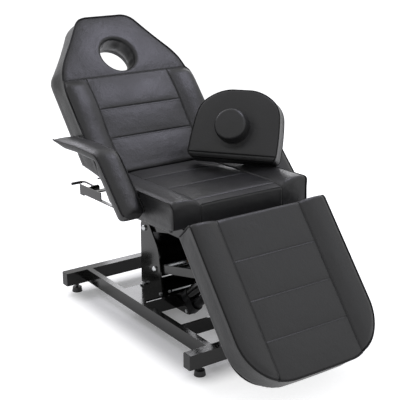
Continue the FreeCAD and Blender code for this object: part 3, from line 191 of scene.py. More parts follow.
world = bpy.data.worlds.new("white_studio")
bpy.context.scene.world = world
world.use_nodes = True
tree = world.node_tree
tree.nodes.clear()
fill_light = add(tree, "Background", {"Color": linear("#F6F7FA"), "Strength": 0.5})
white_wall = add(tree, "Background", {"Color": linear("#FFFFFF"), "Strength": 1.0})
both = add(tree, "MixShader", {0: (seen_rays(tree), 0), 1: (fill_light, 0), 2: (white_wall, 0)})
add(tree, "OutputWorld", {"Surface": (both, 0)})
print("floor", 2 * FLOOR_HALF, "m wide, lift", LIFT_NEAR, "to", LIFT_FAR)

# %% Soft lamps
# name, place, target, width and depth in metres, watts, colour
lamps = (
    ("overhead_softbox", (1.02, -0.02, 2.65), (0.0, 0.40, 0.9), 0.8, 0.6, 16.0, "#EAE8FF"),
    ("front_softbox", (1.6, -2.0, 2.0), (0.0, -0.6, 0.4), 1.5, 1.1, 3.4, "#F4F8FF"),
    ("rear_left_softbox", (-0.6, 3.0, 2.6), (-0.2, 0.0, 0.6), 1.5, 0.9, 30.0, "#F6F4FF"),
    ("rear_right_softbox", (1.75, 2.35, 1.5), (0.0, -0.1, 0.6), 1.5, 0.9, 15.0, "#FAFAFF"),
)
for name, spot, target, width, depth, watts, colour in lamps:
    lamp = bpy.data.lights.new(name, "AREA")
    lamp.shape = "RECTANGLE"
    lamp.size, lamp.size_y = width, depth
    lamp.energy = watts
    lamp.color = linear(colour)[:3]
    holder = bpy.data.objects.new(name, lamp)
    bpy.context.scene.collection.objects.link(holder)
    aim(holder, spot, target)
    print(name, watts, "W")

# %% [markdown]
# The cover: synthetic leather
# The cushions are covered in black polyurethane leather: a knitted backing with a soft plastic skin,
# embossed with a fine grain. The skin is black but satin, so most of what one sees is the room's
# light, broken up by grain. The grain is Voronoi cells of 1.6 mm for the pebbles and fine noise within
# them. The real grain is nearer 0.8 mm, and is drawn this coarse so that it still shows. Two wider
# noises, of about 40 and 8 mm, give the slow unevenness that foam under a tight cover has. The piping
# is cut from the same hide, but is pressed flat and so has less grain and less gloss. Its colour is
# painted darker than the hide's, as painted shade for the dark line along each piped edge.

# %% Synthetic leather
def leather(name, dark, light, roughness, grain_mm, grain_depth, unevenness, ior):
    """Grained skin: cell distance gives pebbles, noise gives pores, and two wide noises give soft dents."""
    material, tree, place = start_material(name)
    wide = add(tree, "TexNoise", {"Vector": place, "Scale": 7.0, "Detail": 3.0, "Roughness": 0.55})
    tint = add(tree, "ValToRGB", {"Fac": (wide, "Fac")}, stops=((0.3, dark), (0.7, light)))
    gloss = add(tree, "MapRange", spread((wide, "Fac"), roughness - 0.04, roughness + 0.05))
    slow = add(tree, "TexNoise", {"Vector": place, "Scale": 26.0, "Detail": 2.0, "Roughness": 0.5})
    mottle = add(tree, "TexNoise", {"Vector": place, "Scale": 130.0, "Detail": 1.0})
    pebbles = add(tree, "TexVoronoi", {"Vector": place, "Scale": 1000.0 / grain_mm}, feature="SMOOTH_F1")
    pores = add(tree, "TexNoise", {"Vector": place, "Scale": 560.0 / grain_mm, "Detail": 3.0})
    under = {}
    for height, strength, depth_mm in (
        ((slow, "Fac"), 1.0, unevenness), ((mottle, "Fac"), 0.8, 0.3 * unevenness),
        ((pebbles, "Distance"), 0.5, grain_depth), ((pores, "Fac"), 0.6, 0.6 * grain_depth),
    ):
        shape = {"Height": height, "Strength": strength, "Distance": depth_mm * MM, **under}
        bump = add(tree, "Bump", shape, invert=height[0] == pebbles)
        under = {"Normal": (bump, "Normal")}
    close_material(tree, {"Base Color": (tint, "Color"), "Roughness": (gloss, "Result"), "IOR": ior, **under})
    return material


cover = leather("embossed_pu_leather", "#1A1A1B", "#232324", 0.41, 1.6, 0.6, 1.6, 1.46)
# The piping's colours are darker than the hide's: painted shade for the dark line along each piped edge.
piping_leather_painted_shade = leather("piping_pu_leather", "#080808", "#0C0C0C", 0.42, 1.2, 0.2, 0.3, 1.3)
print("cover materials", cover.name, piping_leather_painted_shade.name)

# %% [markdown]
# Thread
# The seams are topstitched with bonded black nylon. A twisted thread has a slight sheen and shows a
# diagonal lay, which a fine wave along the piece gives: its bump is the lay, and its lighter bands are
# a painted sheen on the twist.

# %% Bonded nylon thread
thread, tree, place = start_material("bonded_nylon_thread")
lay = add(tree, "TexWave", {"Vector": place, "Scale": 420.0, "Distortion": 1.5}, bands_direction="DIAGONAL")
# Painted sheen: the wave makes lighter bands along the twist of the black thread.
tint = add(tree, "ValToRGB", {"Fac": (lay, "Fac")}, stops=((0.2, "#18181A"), (0.8, "#303034")))
twist = add(tree, "Bump", {"Height": (lay, "Fac"), "Strength": 0.4, "Distance": 0.2 * MM})
close_material(tree, {"Base Color": (tint, "Color"), "Normal": (twist, "Normal"), "Roughness": 0.5})
print("thread", thread.name)

# %% [markdown]
# Paint and metal
# The frame is welded steel with a glossy black powder coat. Powder melts in an oven and levels out
# nearly flat, but a faint orange peel of about 2 mm stays. Pins and bolts are zinc plated, the ram is
# chromed and ground, the bushes are sintered bronze, and the actuator's housing is a casting that was
# dipped black. Metals keep the default index of refraction, and only their colour, roughness and bump
# differ.

# %% Powder coat
black_coat, tree, place = start_material("black_powder_coat")
peel = add(tree, "TexNoise", {"Vector": place, "Scale": 480.0, "Detail": 1.5})
cloud = add(tree, "TexNoise", {"Vector": place, "Scale": 9.0, "Detail": 4.0, "Roughness": 0.6})
tint = add(tree, "ValToRGB", {"Fac": (cloud, "Fac")}, stops=((0.35, "#0F0F0E"), (0.7, "#151513")))
gloss = add(tree, "MapRange", spread((cloud, "Fac"), 0.10, 0.19))
bump = add(tree, "Bump", {"Height": (peel, "Fac"), "Strength": 0.4, "Distance": 0.04 * MM})
close_material(tree, {
    "Base Color": (tint, "Color"), "Roughness": (gloss, "Result"), "Normal": (bump, "Normal"), "IOR": 1.42,
})
print("paint", black_coat.name)


# %% Metals
def metal(name, hex_dark, hex_light, roughness, grain_mm, depth_mm, stretch=(1.0, 1.0, 1.0)):
    """Bare or plated metal: one colour with a fine grain, drawn out along an axis where it was ground."""
    material, tree, place = start_material(name)
    lie = add(tree, "Mapping", {"Vector": place, "Scale": stretch})
    grain = add(tree, "TexNoise", {"Vector": (lie, "Vector"), "Scale": 1000.0 / grain_mm, "Detail": 3.0})
    cloud = add(tree, "TexNoise", {"Vector": place, "Scale": 30.0, "Detail": 3.0})
    tint = add(tree, "ValToRGB", {"Fac": (cloud, "Fac")}, stops=((0.35, hex_dark), (0.65, hex_light)))
    gloss = add(tree, "MapRange", spread((grain, "Fac"), roughness - 0.05, roughness + 0.08))
    bump = add(tree, "Bump", {"Height": (grain, "Fac"), "Strength": 0.5, "Distance": depth_mm * MM})
    close_material(tree, {
        "Base Color": (tint, "Color"), "Roughness": (gloss, "Result"), "Normal": (bump, "Normal"),
        "Metallic": 1.0,
    })
    return material


zinc = metal("zinc_plated_steel", "#B9BBBD", "#CFD1D2", 0.32, 1.2, 0.05)
chrome = metal("ground_chromed_rod", "#C9CBCC", "#DADBDC", 0.12, 0.8, 0.01, (1.0, 0.08, 0.08))
bronze = metal("sintered_bronze", "#8C6A3E", "#A37D4B", 0.42, 0.8, 0.08)
cast_black = metal("black_dipped_casting", "#1C1C1D", "#262627", 0.42, 1.6, 0.12)
print("metals", [m.name for m in (zinc, chrome, bronze, cast_black)])

# %% [markdown]
# Plastic and cloth
# The knobs, the lever's grip, the end caps and the feet are moulded polypropylene: the mould was spark
# eroded, which leaves an even, fine roughness. The boards under the cushions are closed with black
# non-woven cloth, stapled on. It is matt fibre, so it has almost no gloss, and a fine tangle of noise
# gives its fleece.

# %% Moulded plastic
plastic, tree, place = start_material("moulded_black_polypropylene")
spark = add(tree, "TexNoise", {"Vector": place, "Scale": 900.0, "Detail": 2.0})
bump = add(tree, "Bump", {"Height": (spark, "Fac"), "Strength": 0.6, "Distance": 0.12 * MM})
cloud = add(tree, "TexNoise", {"Vector": place, "Scale": 18.0, "Detail": 2.0})
tint = add(tree, "ValToRGB", {"Fac": (cloud, "Fac")}, stops=((0.35, "#151516"), (0.65, "#1B1B1C")))
close_material(tree, {
    "Base Color": (tint, "Color"), "Normal": (bump, "Normal"), "Roughness": 0.5, "IOR": 1.49,
})
print("plastic", plastic.name)

# %% Black cloth
cloth_black, tree, place = start_material("black_nonwoven_cloth")
fleece = add(tree, "TexNoise", {"Vector": place, "Scale": 700.0, "Detail": 4.0, "Roughness": 0.7})
tint = add(tree, "ValToRGB", {"Fac": (fleece, "Fac")}, stops=((0.3, "#0B0B0B"), (0.7, "#171717")))
tangle = add(tree, "Bump", {"Height": (fleece, "Fac"), "Strength": 0.5, "Distance": 0.4 * MM})
close_material(tree, {
    "Base Color": (tint, "Color"), "Normal": (tangle, "Normal"), "Roughness": 0.95,
    "Specular IOR Level": 0.15,
})
print("cloth", cloth_black.name)

# %% Give every CAD node its finish
finish = {
    "black_upholstery": cover, "plywood": cloth_black, "black_paint": black_coat, "black_plastic": plastic,
    "zinc_steel": zinc, "bronze": bronze, "chromed_rod": chrome, "cast_aluminium": cast_black,
}
given = 0
for node in frame["nodes"].values():
    for material_slot in node.material_slots:
        key = material_slot.material.name.split(".")[0] if material_slot.material else "black_paint"
        material_slot.material = finish[key]
        given += 1
print("finishes given to", given, "slots of", len(frame["nodes"]), "nodes")

# %% [markdown]
# Where the cushions lie
# Each cushion has its own flat frame: u across, v along the chair and w up from its seams. The seat
# is pitched by 1.8 degrees. The back leans at 48 degrees and the leg rest hangs at 51 degrees, and
# both turn about hinges whose places the frame gives. The pillow stands on the seat, leans back at 61
# degrees and faces the chair's front left; its frame is a across, b up its front and h out of it.

# %% Local frames of seat, back, leg rest and pillow
SEAT_PITCH, BACK_LEAN, LEG_HANG = -1.8, 48.0, 51.0
HINGE_IN_SEAT, HINGE_IN_BACK, HINGE_IN_LEG = (12.0, -27.0), (-12.0, -27.0), (0.0, -97.5)
PILLOW_FACING, PILLOW_LEAN, PILLOW_ROLL = -56.8, 61.0, 1.6
PILLOW_X, PILLOW_Y_FROM_SEAT, PILLOW_Z = 150.0, -229.0, 654.5


def hinge(joint_name):
    """The place of a joint in the side view, in millimetres: (y, z)."""
    joint = next(j for j in frame["joints"] if j["name"] == joint_name)
    return np.array(joint["pos_m"][1:]) / MM


def turn_matrix(axis, degrees):
    """Rotation about X or Z: cosines on the diagonal, sines beside it."""
    c, s = math.cos(math.radians(degrees)), math.sin(math.radians(degrees))
    return np.array([[1, 0, 0], [0, c, -s], [0, s, c]] if axis == "x" else [[c, -s, 0], [s, c, 0], [0, 0, 1]])


def placed(degrees, at, local):
    """The rotation about X, and the origin that brings a local point (v, w) to a place (y, z)."""
    rotation = turn_matrix("x", degrees)
    origin = np.array([0.0, *at]) - rotation @ np.array([0.0, *local])
    return rotation, origin


back_hinge, leg_hinge = hinge("back_recline"), hinge("leg_rest_lift")
seat_place = placed(SEAT_PITCH, back_hinge, HINGE_IN_SEAT)
back_place = placed(BACK_LEAN, back_hinge, HINGE_IN_BACK)
leg_place = placed(LEG_HANG, leg_hinge, HINGE_IN_LEG)
pillow_turn = turn_matrix("z", PILLOW_FACING) @ turn_matrix("x", PILLOW_LEAN) @ turn_matrix("z", PILLOW_ROLL)
pillow_place = (pillow_turn, np.array([PILLOW_X, seat_place[1][1] + PILLOW_Y_FROM_SEAT, PILLOW_Z]))
upright = (np.eye(3), np.zeros(3))
for word, placing in (("seat", seat_place), ("back", back_place), ("leg rest", leg_place)):
    print(word, "origin", np.round(placing[1], 2))

# %% [markdown]
# From a form to a mesh
# A cushion has no simple grid: it has a hole, mitred ends and rounded corners. So its form is written
# as one distance function: negative inside, zero on the skin. A net of points is stretched over the
# zero level of that function, one point for each cell of a loose lattice that the skin crosses, and
# the points are then drawn exactly onto the skin. The lattice is finer along the seams, so the seams
# come out crisp and the mesh stays light elsewhere.

# %% Rounded joins between distances
def rounded(a, b, radius):
    """Greater of two distances, its inner corner an arc: min(max, -r) plus the hypotenuse of what is
    above -r."""
    corner = np.hypot(np.maximum(a + radius, 0), np.maximum(b + radius, 0))
    return np.minimum(np.maximum(a, b), -radius) + corner


def beyond(v, w, start, end):
    """Signed distance in the side view to the line from start to end, positive on its right hand."""
    dv, dw = end[0] - start[0], end[1] - start[1]
    return ((v - start[0]) * dw - (w - start[1]) * dv) / math.hypot(dv, dw)


def ease(x):
    """Smooth step from 0 to 1: three x squared minus two x cubed."""
    x = np.clip(x, 0.0, 1.0)
    return x * x * (3.0 - 2.0 * x)


def crease(t, depth, width):
    """A sewn groove: a narrow bell at distance t from the seam, with a small raised fold beside it."""
    fold = 0.3 * depth * np.exp(-(((t + 2.4 * width) / (1.2 * width)) ** 2))
    return -depth * np.exp(-((t / width) ** 2)) + fold


two_planes = np.array(-3.0)
print("a corner of two planes at -3, radius 10:", round(float(rounded(two_planes, two_planes, 10.0)), 2))


# %% A net over the form
SEAM_CLUSTER = np.array([-9.5, -5.6, -3.1, -1.3, 0.0, 1.3, 3.1, 5.6, 9.5])


def rows_between(low, high, pitch, seams):
    """Lattice rows from low to high at a pitch, with a symmetrical cluster of fine rows at each seam."""
    rows = np.arange(low, high + pitch, pitch)
    for seam in seams:
        rows = rows[np.abs(rows - seam) > SEAM_CLUSTER[-1] + 0.45 * pitch]
        rows = np.concatenate([rows, seam + SEAM_CLUSTER])
    rows = np.sort(rows)
    return np.concatenate([[rows[0] - pitch], (rows[1:] + rows[:-1]) / 2, [rows[-1] + pitch]])


def net_over(form, rows_u, rows_v, rows_w):
    """Surface net: in each lattice cell that the zero level crosses, the mean of its edge crossings becomes
    a point; each lattice edge that crosses joins the four cells round it into a face."""
    lattice = np.stack(np.meshgrid(rows_u, rows_v, rows_w, indexing="ij"), axis=-1)
    level = form(lattice[..., 0], lattice[..., 1], lattice[..., 2])
    inside = level < 0
    cells = tuple(n - 1 for n in level.shape)
    total, count = np.zeros(cells + (3,)), np.zeros(cells)
    for axis in range(3):
        for p in (0, 1):
            for q in (0, 1):
                offset = [0, 0, 0]
                offset[(axis + 1) % 3], offset[(axis + 2) % 3] = p, q
                near = tuple(slice(o, o + n) for o, n in zip(offset, cells))
                offset[axis] = 1
                far = tuple(slice(o, o + n) for o, n in zip(offset, cells))
                crosses = inside[near] != inside[far]
                gap = np.where(crosses, level[near] - level[far], 1.0)
                share = np.where(crosses, level[near] / gap, 0.0)[..., None]
                point = lattice[near] + share * (lattice[far] - lattice[near])
                total += np.where(crosses[..., None], point, 0.0)
                count += crosses
    active = count > 0
    index = np.full(cells, -1)
    index[active] = np.arange(active.sum())
    points = total[active] / count[active][:, None]
    faces = []
    for axis in range(3):
        across = [(axis + 1) % 3, (axis + 2) % 3]
        low, high = [slice(None)] * 3, [slice(None)] * 3
        low[axis], high[axis] = slice(0, -1), slice(1, None)
        leaving = inside[tuple(low)]
        where = np.argwhere(leaving != inside[tuple(high)])
        edges = where[:, across]
        where = where[((edges > 0) & (edges < np.array(level.shape)[across] - 1)).all(axis=1)]
        step_b, step_c = np.eye(3, dtype=int)[across]
        corners = [where - step_b - step_c, where - step_c, where, where - step_b]
        quads = np.stack([index[tuple(corner.T)] for corner in corners], axis=1)
        outward = leaving[tuple(where.T)]
        faces.append(np.where(outward[:, None], quads, quads[:, ::-1]))
    return points, np.concatenate(faces)


def slope_of(form, points, step=0.05):
    """The form's value and its slope in three directions, by small steps."""
    value = form(*points.T)
    slope = np.stack([form(*(points + step * axis).T) - value for axis in np.eye(3)], axis=1) / step
    return value, slope


def onto(form, points, level=0.0, rounds=6):
    """Draw points onto a level of the form: each step goes down the slope by the value over the slope
    squared."""
    points = points.copy()
    for _ in range(rounds):
        value, slope = slope_of(form, points)
        steep = np.maximum((slope ** 2).sum(axis=1), 0.2)
        move = ((value - level) / steep)[:, None] * slope
        points -= np.clip(move, -6.0, 6.0)
    return points


print("rows round a seam at 0:", rows_between(-20, 20, 7.0, (0.0,)).round(1).tolist())


# %% From arrays to a Blender object
def to_frame(points, placing):
    """Local millimetres to the shared frame in metres: turn, then move."""
    rotation, origin = placing
    return (points @ rotation.T + origin) * MM


def new_piece(name, points, faces, placing, material):
    """A smooth mesh object at the origin, with its place in its vertices. faces is an array or lists."""
    mesh = bpy.data.meshes.new(name)
    face_lists = faces.tolist() if hasattr(faces, "tolist") else faces
    mesh.from_pydata(to_frame(points, placing).tolist(), [], face_lists)
    mesh.polygons.foreach_set("use_smooth", np.full(len(mesh.polygons), True))
    mesh.materials.append(material)
    mesh.update()
    piece = bpy.data.objects.new(name, mesh)
    bpy.context.scene.collection.objects.link(piece)
    return piece


def finer(piece):
    """One subdivision of a piece's surface, the same in the view and in the render."""
    modifier = piece.modifiers.new("smooth_skin", "SUBSURF")
    modifier.levels = modifier.render_levels = 1
    return piece


def belongs(piece, body, node=None):
    """A piece's place in the part: the body it rides on, and the CAD node that it stands for, which is
    hidden."""
    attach(piece, body)
    if node:
        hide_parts(node)


print("a local millimetre is", to_frame(np.ones(3), upright)[0], "m")

# %% [markdown]
# Filling a cushion
# A sewn cover over foam is tight, and swells most in the middle of each panel. The cover is held at
# its seams, its piping and its base, and Blender's cloth solver blows up what is between them with a
# little pressure and no gravity. How far a point may move is then limited, because real foam is firm.

# %% Cloth filling
PRESSURE, FRAMES, MOST_SWELL, HOLD_STEPS = 4.0, 20, 5.0, 8


def filled(name, points, faces, held):
    """Blow up the skin with the cloth solver and return the new points in millimetres. held is 1 where the
    cover is sewn down and 0 where it is free. A move is limited smoothly by the hyperbolic tangent."""
    piece = new_piece(name + "_blank", points, faces, upright, cover)
    group = piece.vertex_groups.new(name="held")
    steps = np.round(np.clip(held, 0, 1) * HOLD_STEPS).astype(int)
    for step in range(1, HOLD_STEPS + 1):
        group.add(np.flatnonzero(steps == step).tolist(), step / HOLD_STEPS, "REPLACE")
    cloth = piece.modifiers.new("filling", "CLOTH")
    settings = cloth.settings
    settings.quality = 4
    settings.mass = 0.3
    settings.use_pressure = True
    settings.uniform_pressure_force = PRESSURE
    settings.effector_weights.gravity = 0.0
    settings.vertex_group_mass = "held"
    settings.tension_stiffness = settings.compression_stiffness = 12.0
    settings.bending_stiffness = 0.4
    cloth.point_cache.frame_start, cloth.point_cache.frame_end = 1, FRAMES
    for number in range(1, FRAMES + 1):
        bpy.context.scene.frame_set(number)
    result = piece.evaluated_get(bpy.context.evaluated_depsgraph_get())
    flat = np.empty(3 * len(result.data.vertices))
    result.data.vertices.foreach_get("co", flat)
    moved = flat.reshape(-1, 3) / MM - points
    bpy.data.objects.remove(piece, do_unlink=True)
    bpy.context.scene.frame_set(1)
    length = np.linalg.norm(moved, axis=1)
    limit = MOST_SWELL * np.tanh(length / MOST_SWELL) / np.maximum(length, 1e-6)
    print(name, "swells by up to", (length * limit).max().round(1), "mm")
    return points + moved * limit[:, None]


def sewn_cover(name, form, rows, hold, placing):
    """A cushion's cover: a net over the form, drawn onto it, filled, and made finer. hold tells how firmly
    each point is held."""
    points, faces = net_over(form, *rows)
    points = onto(form, points)
    points = filled(name, points, faces, hold(points))
    print(name, len(points), "points")
    return finer(new_piece(name, points, faces, placing, cover))


def held_down(w, distances):
    """1 where the cover is held: near the base and near each sewn or piped line; 0 in between."""
    held = ease((-w - 62.0) / 22.0)
    for distance in distances:
        held = np.maximum(held, 1 - ease((np.abs(distance) - 6.0) / 22.0))
    return held


print("pressure", PRESSURE, "for", FRAMES, "frames, at most", MOST_SWELL, "mm")

# %% [markdown]
# Shapes that the cushions share
# Between the side seams the cover is quilted into rows. Each row is a low pillow: it leaves its seam
# steeply and is nearly flat in the middle. Outside the side seams lies a bolster, which rises from
# the sunk seam to a crest and falls a little to the piped edge. Below the piping the sides draw in a
# little, and at the base the cover of the seat and of the back is wrapped round the edge of its board.

# %% Panel and bolster profiles
SEAM_SINK, ROW_RISE, PUCKER_PITCH = 3.6, 3.0, 17.0
BASE_DEPTH, BOARD_DEPTH, BOARD_HALF = 90.0, 88.0, 14.5
FAR = 99.0


def quilted_row(u, v, seam, stops):
    """Height of the rows between the side seams: one minus the sixth power of the share along a row, times
    one minus the seventh power of the share across."""
    stops = sorted(stops)
    which = np.clip(np.searchsorted(stops, v, side="right") - 1, 0, len(stops) - 2)
    low, high = np.array(stops)[which], np.array(stops)[which + 1]
    along = np.clip(2 * (v - low) / (high - low) - 1, -1, 1)
    across = np.clip(u / seam, -1, 1)
    plump = ROW_RISE * np.minimum(1.0, (high - low) / (8 * ROW_RISE))
    return plump * (1 - np.abs(along) ** 6.0) * (1 - np.abs(across) ** 7.0) - SEAM_SINK


def bolster(from_seam, from_edge, crest, edge_fall):
    """Height of a side bolster: a quarter sine from the sunk seam to the crest, and a bell that pulls the
    edge down."""
    rise = np.sin(np.pi / 2 * np.clip(from_seam / 72.0, 0, 1) ** 0.85)
    bell = np.exp(-((np.maximum(from_edge, 0) / 15.0) ** 2))
    return -SEAM_SINK + (crest + SEAM_SINK) * rise - edge_fall * bell


def gathers(along, seed):
    """Small puckers along a seam: three sines of nearby pitches with seeded phases."""
    phases = np.random.default_rng(seed).uniform(0, 2 * np.pi, 3)
    pitches = [PUCKER_PITCH * k for k in (0.71, 1.0, 1.63)]
    return sum(np.sin(2 * np.pi * along / pitch + phase) for pitch, phase in zip(pitches, phases)) / 3


def puckers(along, away, height, seed, reach):
    """Gathers along a seam that die out beside it: height times gathers times a falling exponential."""
    return height * gathers(along, seed) * np.exp(-np.abs(away) / reach)


def with_channels(top, u, v, seam, channels, depth, width, pucker, seed):
    """A top with a creased and puckered channel at each given v, fading out at the side seams."""
    share = ease((seam - np.abs(u)) / 6.0 + 0.5)
    for number, channel in enumerate(channels):
        top = top + share * crease(v - channel, depth, width)
        top = top + puckers(u, v - channel, share * pucker, seed + number, 9.0)
    return top


def tucked(w):
    """How far the sides draw in between piping and base: a half sine, 2 mm deep."""
    return 2.0 * np.sin(np.pi * np.clip(-w / BASE_DEPTH, 0, 1))


def two_slopes(v, w, first, knee, last):
    """Distance to a sloped end with a knee, from two lines in the side view."""
    return rounded(beyond(v, w, first, knee), beyond(v, w, knee, last), 4.0)


def on_board(skin, wrap, w):
    """The skin cut off at the flat base, and joined to the cover that is wrapped round the board's edge."""
    board_edge = rounded(np.abs(w + BOARD_DEPTH) - BOARD_HALF, wrap, 2.0)
    return np.minimum(rounded(skin, -BASE_DEPTH - w, 3.0), board_edge)


def channel_distances(u, v, seam, channels):
    """Distance to each channel between the side seams; outside them a channel is far off."""
    return [np.where(np.abs(u) < seam, v - channel, FAR) for channel in channels]


def edge_distance(inside, w):
    """Distance to the piped edge: the hypotenuse of what lies inside it and below it."""
    return np.hypot(np.maximum(inside, 0), np.maximum(-w, 0))


crest_height = bolster(np.array(80.0), np.array(40.0), 13.0, 8.0)
print("bolster crest", round(float(crest_height), 1), "mm above the seam plane")

# %% [markdown]
# The seat cushion
# A block of foam 605 by 508 mm, cut at a slope behind so that the back can come down on it. Its
# middle is quilted into rows, and its front edge sinks between the side seams, where the cover is
# pulled down over the board. Its bolsters roll over the front edge.

# %% Seat form
seat_half, seat_seam, seat_depth = 302.5, 183.0, 508.0
seat_channels = [-0.24 * seat_depth, -0.571 * seat_depth, -0.906 * seat_depth]
seat_rear = ((-65.7, -90.0), (1.0, -10.0), (-29.0, 29.0))


def seat_top(u, v):
    """Height of the seat's top skin: rows or bolsters, less a bell along the front, with their creases."""
    side = np.abs(u)
    rows = quilted_row(u, v, seat_seam, [30.0, *seat_channels, -seat_depth - 14])
    rolls = bolster(side - seat_seam, seat_half - side, 13.0, 8.0)
    top = np.where(side < seat_seam, rows, rolls)
    front = np.exp(-(((v + seat_depth) / 46.0) ** 2))
    top = top - 12.0 * front * (1 - ease((side - seat_seam + 4) / 26.0))
    top = with_channels(top, u, v, seat_seam, seat_channels, 1.5, 1.8, 0.5, 10)
    top = top + crease(seat_seam - side, 2.4, 1.8)
    return top + puckers(v, side - seat_seam, 0.6, 17, 9.0)


def seat_form(u, v, w):
    """Distance to the seat's skin: top, rolled front, drawn-in sides, sloped rear, flat base and the edge of
    the board."""
    side = np.abs(u)
    drawn = tucked(w) - 1.0
    front_groove = -crease(side - seat_seam, 2.0, 1.8) * ease((-w - 4) / 20.0)
    front = -seat_depth - v + front_groove
    roll = 6.0 + 12.0 * ease((side - seat_seam) / 24.0)
    skin = rounded(w - seat_top(u, v), front, roll)
    skin = rounded(skin, rounded(side - seat_half + drawn, front, 9.0), 7.0)
    skin = rounded(skin, two_slopes(v, w, *seat_rear), 5.0)
    wrap = rounded(rounded(side - seat_half + 1.0, 287.3 - side, 2.0), np.abs(v + 290.0) - 196.0, 4.0)
    return on_board(skin, wrap, w)


def seat_held(points):
    """Where the seat's cover is held: base, channels, side seams, piping, front edge and hinge end."""
    u, v, w = points.T
    seams = channel_distances(u, v, seat_seam, seat_channels) + [np.abs(u) - seat_seam]
    held = held_down(w, seams + [edge_distance(seat_half - np.abs(u), w)])
    from_front = np.hypot(v + seat_depth, np.maximum(-w - 10, 0))
    held = np.maximum(held, 1 - ease((from_front - 8) / 20.0))
    return np.maximum(held, ease((v + 40.0) / 26.0))


seat_mid = float(seat_top(np.array(0.0), np.array(-200.0)))
print("middle of the seat's second row", round(seat_mid, 1), "mm above the seam plane")

# %% Seat mesh
PITCH = 7.0
rows_w = np.arange(-108.0, 27.0, 6.6)
seat_rows = (
    rows_between(-308, 308, PITCH, (-seat_seam, seat_seam)),
    rows_between(-516, 8, PITCH, seat_channels), rows_w,
)
seat_cover = sewn_cover("seat_cover", seat_form, seat_rows, seat_held, seat_place)
belongs(seat_cover, "seat", "seat_cushion")

# %% [markdown]
# The back cushion
# The back is 722 mm long. It narrows above the shoulders to a head section with a face hole. The
# hole's lining is pulled down through it in loose folds: it narrows at first and widens again below,
# where it is fixed behind the board. A seam runs right across below the head section, and the side
# seams end there.

# %% Back form
back_half, back_seam, back_length = 301.0, 192.0, 722.0
shoulder, tip_half = 466.0, 121.0
back_channels = [0.213 * back_length, 0.392 * back_length]
head_seam = 0.598 * back_length
hole_u, hole_v, hole_radius = -3.0, 530.0, 75.5
back_base = ((29.0, 29.0), (-1.0, -10.0), (90.0, -90.0))


def back_plan(u, v, corner=60.0):
    """Signed distance to the back's outline: straight sides, hollowed shoulder slants and a straight top,
    with rounded corners."""
    side = np.abs(u)
    run, fall = back_length - shoulder, back_half - tip_half
    slant = ((side - back_half) * run + (v - shoulder) * fall) / math.hypot(run, fall)
    slant = slant + 5.0 * np.sin(np.pi * np.clip((v - shoulder - 16) / (run - 30), 0, 1))
    return rounded(rounded(side - back_half, slant, corner), v - back_length, 36.0)


def back_top(u, v):
    """Height of the back's top skin: rows or bolsters below the head seam, a low dome above it, a bell for
    the lumbar bulge, and their creases."""
    side, inside_edge = np.abs(u), -back_plan(u, v)
    rows = quilted_row(u, v, back_seam, [-30.0, *back_channels, head_seam])
    rolls = bolster(side - back_seam, inside_edge, 14.0, 7.0)
    fall = ease((head_seam - v) / 38.0) ** 0.7
    rolls = -SEAM_SINK + (rolls + SEAM_SINK) * fall
    low = np.where(side < back_seam, rows, rolls)
    share = np.clip((v - head_seam) / (back_length - head_seam), 0, 1)
    head = -SEAM_SINK + 6.5 * np.sin(np.pi / 2 * np.clip((v - head_seam) / 60.0, 0, 1))
    head = head - 2.0 * ease(share * 1.2 - 0.3) - 3.0 * np.exp(-((np.maximum(inside_edge, 0) / 16.0) ** 2))
    top = np.where(v < head_seam, low, head)
    top = with_channels(top, u, v, back_seam, back_channels, 2.6, 1.9, 0.7, 20)
    top = top + crease(v - head_seam, 1.8, 1.8) + puckers(u, v - head_seam, 0.8, 26, 10.0)
    below = ease((head_seam - v) / 6.0 + 0.5)
    top = top + below * crease(back_seam - side, 2.4, 1.8)
    lumbar = 10.0 * np.exp(-(((v - 318.0) / 95.0) ** 2))
    return top + lumbar + puckers(v, side - back_seam, below * 0.7, 27, 10.0)


def face_hole(u, v, w):
    """Distance to the lining of the face hole: a radius less the distance from the axis, with two waves of
    folds. The radius shrinks over the first 50 mm of depth and flares below."""
    depth, flare = ease((-w - 8) / 50.0), ease((-w - 58) / 32.0)
    from_axis = np.hypot(u - (hole_u - 2.0 * depth) * (1 - flare), v - hole_v - 4.0 * depth + 9.0 * flare)
    turn = np.arctan2(v - hole_v, u)
    folds = 1.5 * np.cos(7 * turn + 0.6) + 1.2 * np.cos(12 * turn + 2.0)
    return hole_radius - 6.0 * depth + 11.5 * flare + folds * depth * (1 - flare) - from_axis


def back_form(u, v, w):
    """Distance to the back's skin: top, outline, face hole, both sloped ends and the edge of the board."""
    low = ease((-w - 10) / 70.0)
    drawn = tucked(w) - 1.0 - 5.0 * low * ease((v - 440.0) / 60.0)
    plan = back_plan(u, v - 8.0 * low, 60.0 - 44.0 * low) + drawn
    skin = rounded(w - back_top(u, v), plan, 7.0)
    skin = rounded(skin, face_hole(u, v, w), 15.0)
    skin = rounded(skin, two_slopes(v, w, *back_base), 5.0)
    wrap = rounded(rounded(plan + 1.0, -15.2 - back_plan(u, v), 2.0), 99.0 - v, 4.0)
    return on_board(skin, wrap, w)


def back_held(points):
    """Where the back's cover is held: base, channels, seams, piping, face hole and hinge end."""
    u, v, w = points.T
    seams = channel_distances(u, v, back_seam, back_channels) + [v - head_seam]
    seams += [np.where(v < head_seam, np.abs(u) - back_seam, FAR)]
    held = held_down(w, seams + [edge_distance(-back_plan(u, v), w)])
    held = np.maximum(held, 1 - ease((np.hypot(u - hole_u, v - hole_v) - hole_radius - 24.0) / 24.0))
    return np.maximum(held, ease((46.0 - v) / 26.0))


print("head seam at", round(head_seam, 1), "mm, face hole", 2 * hole_radius, "mm wide")

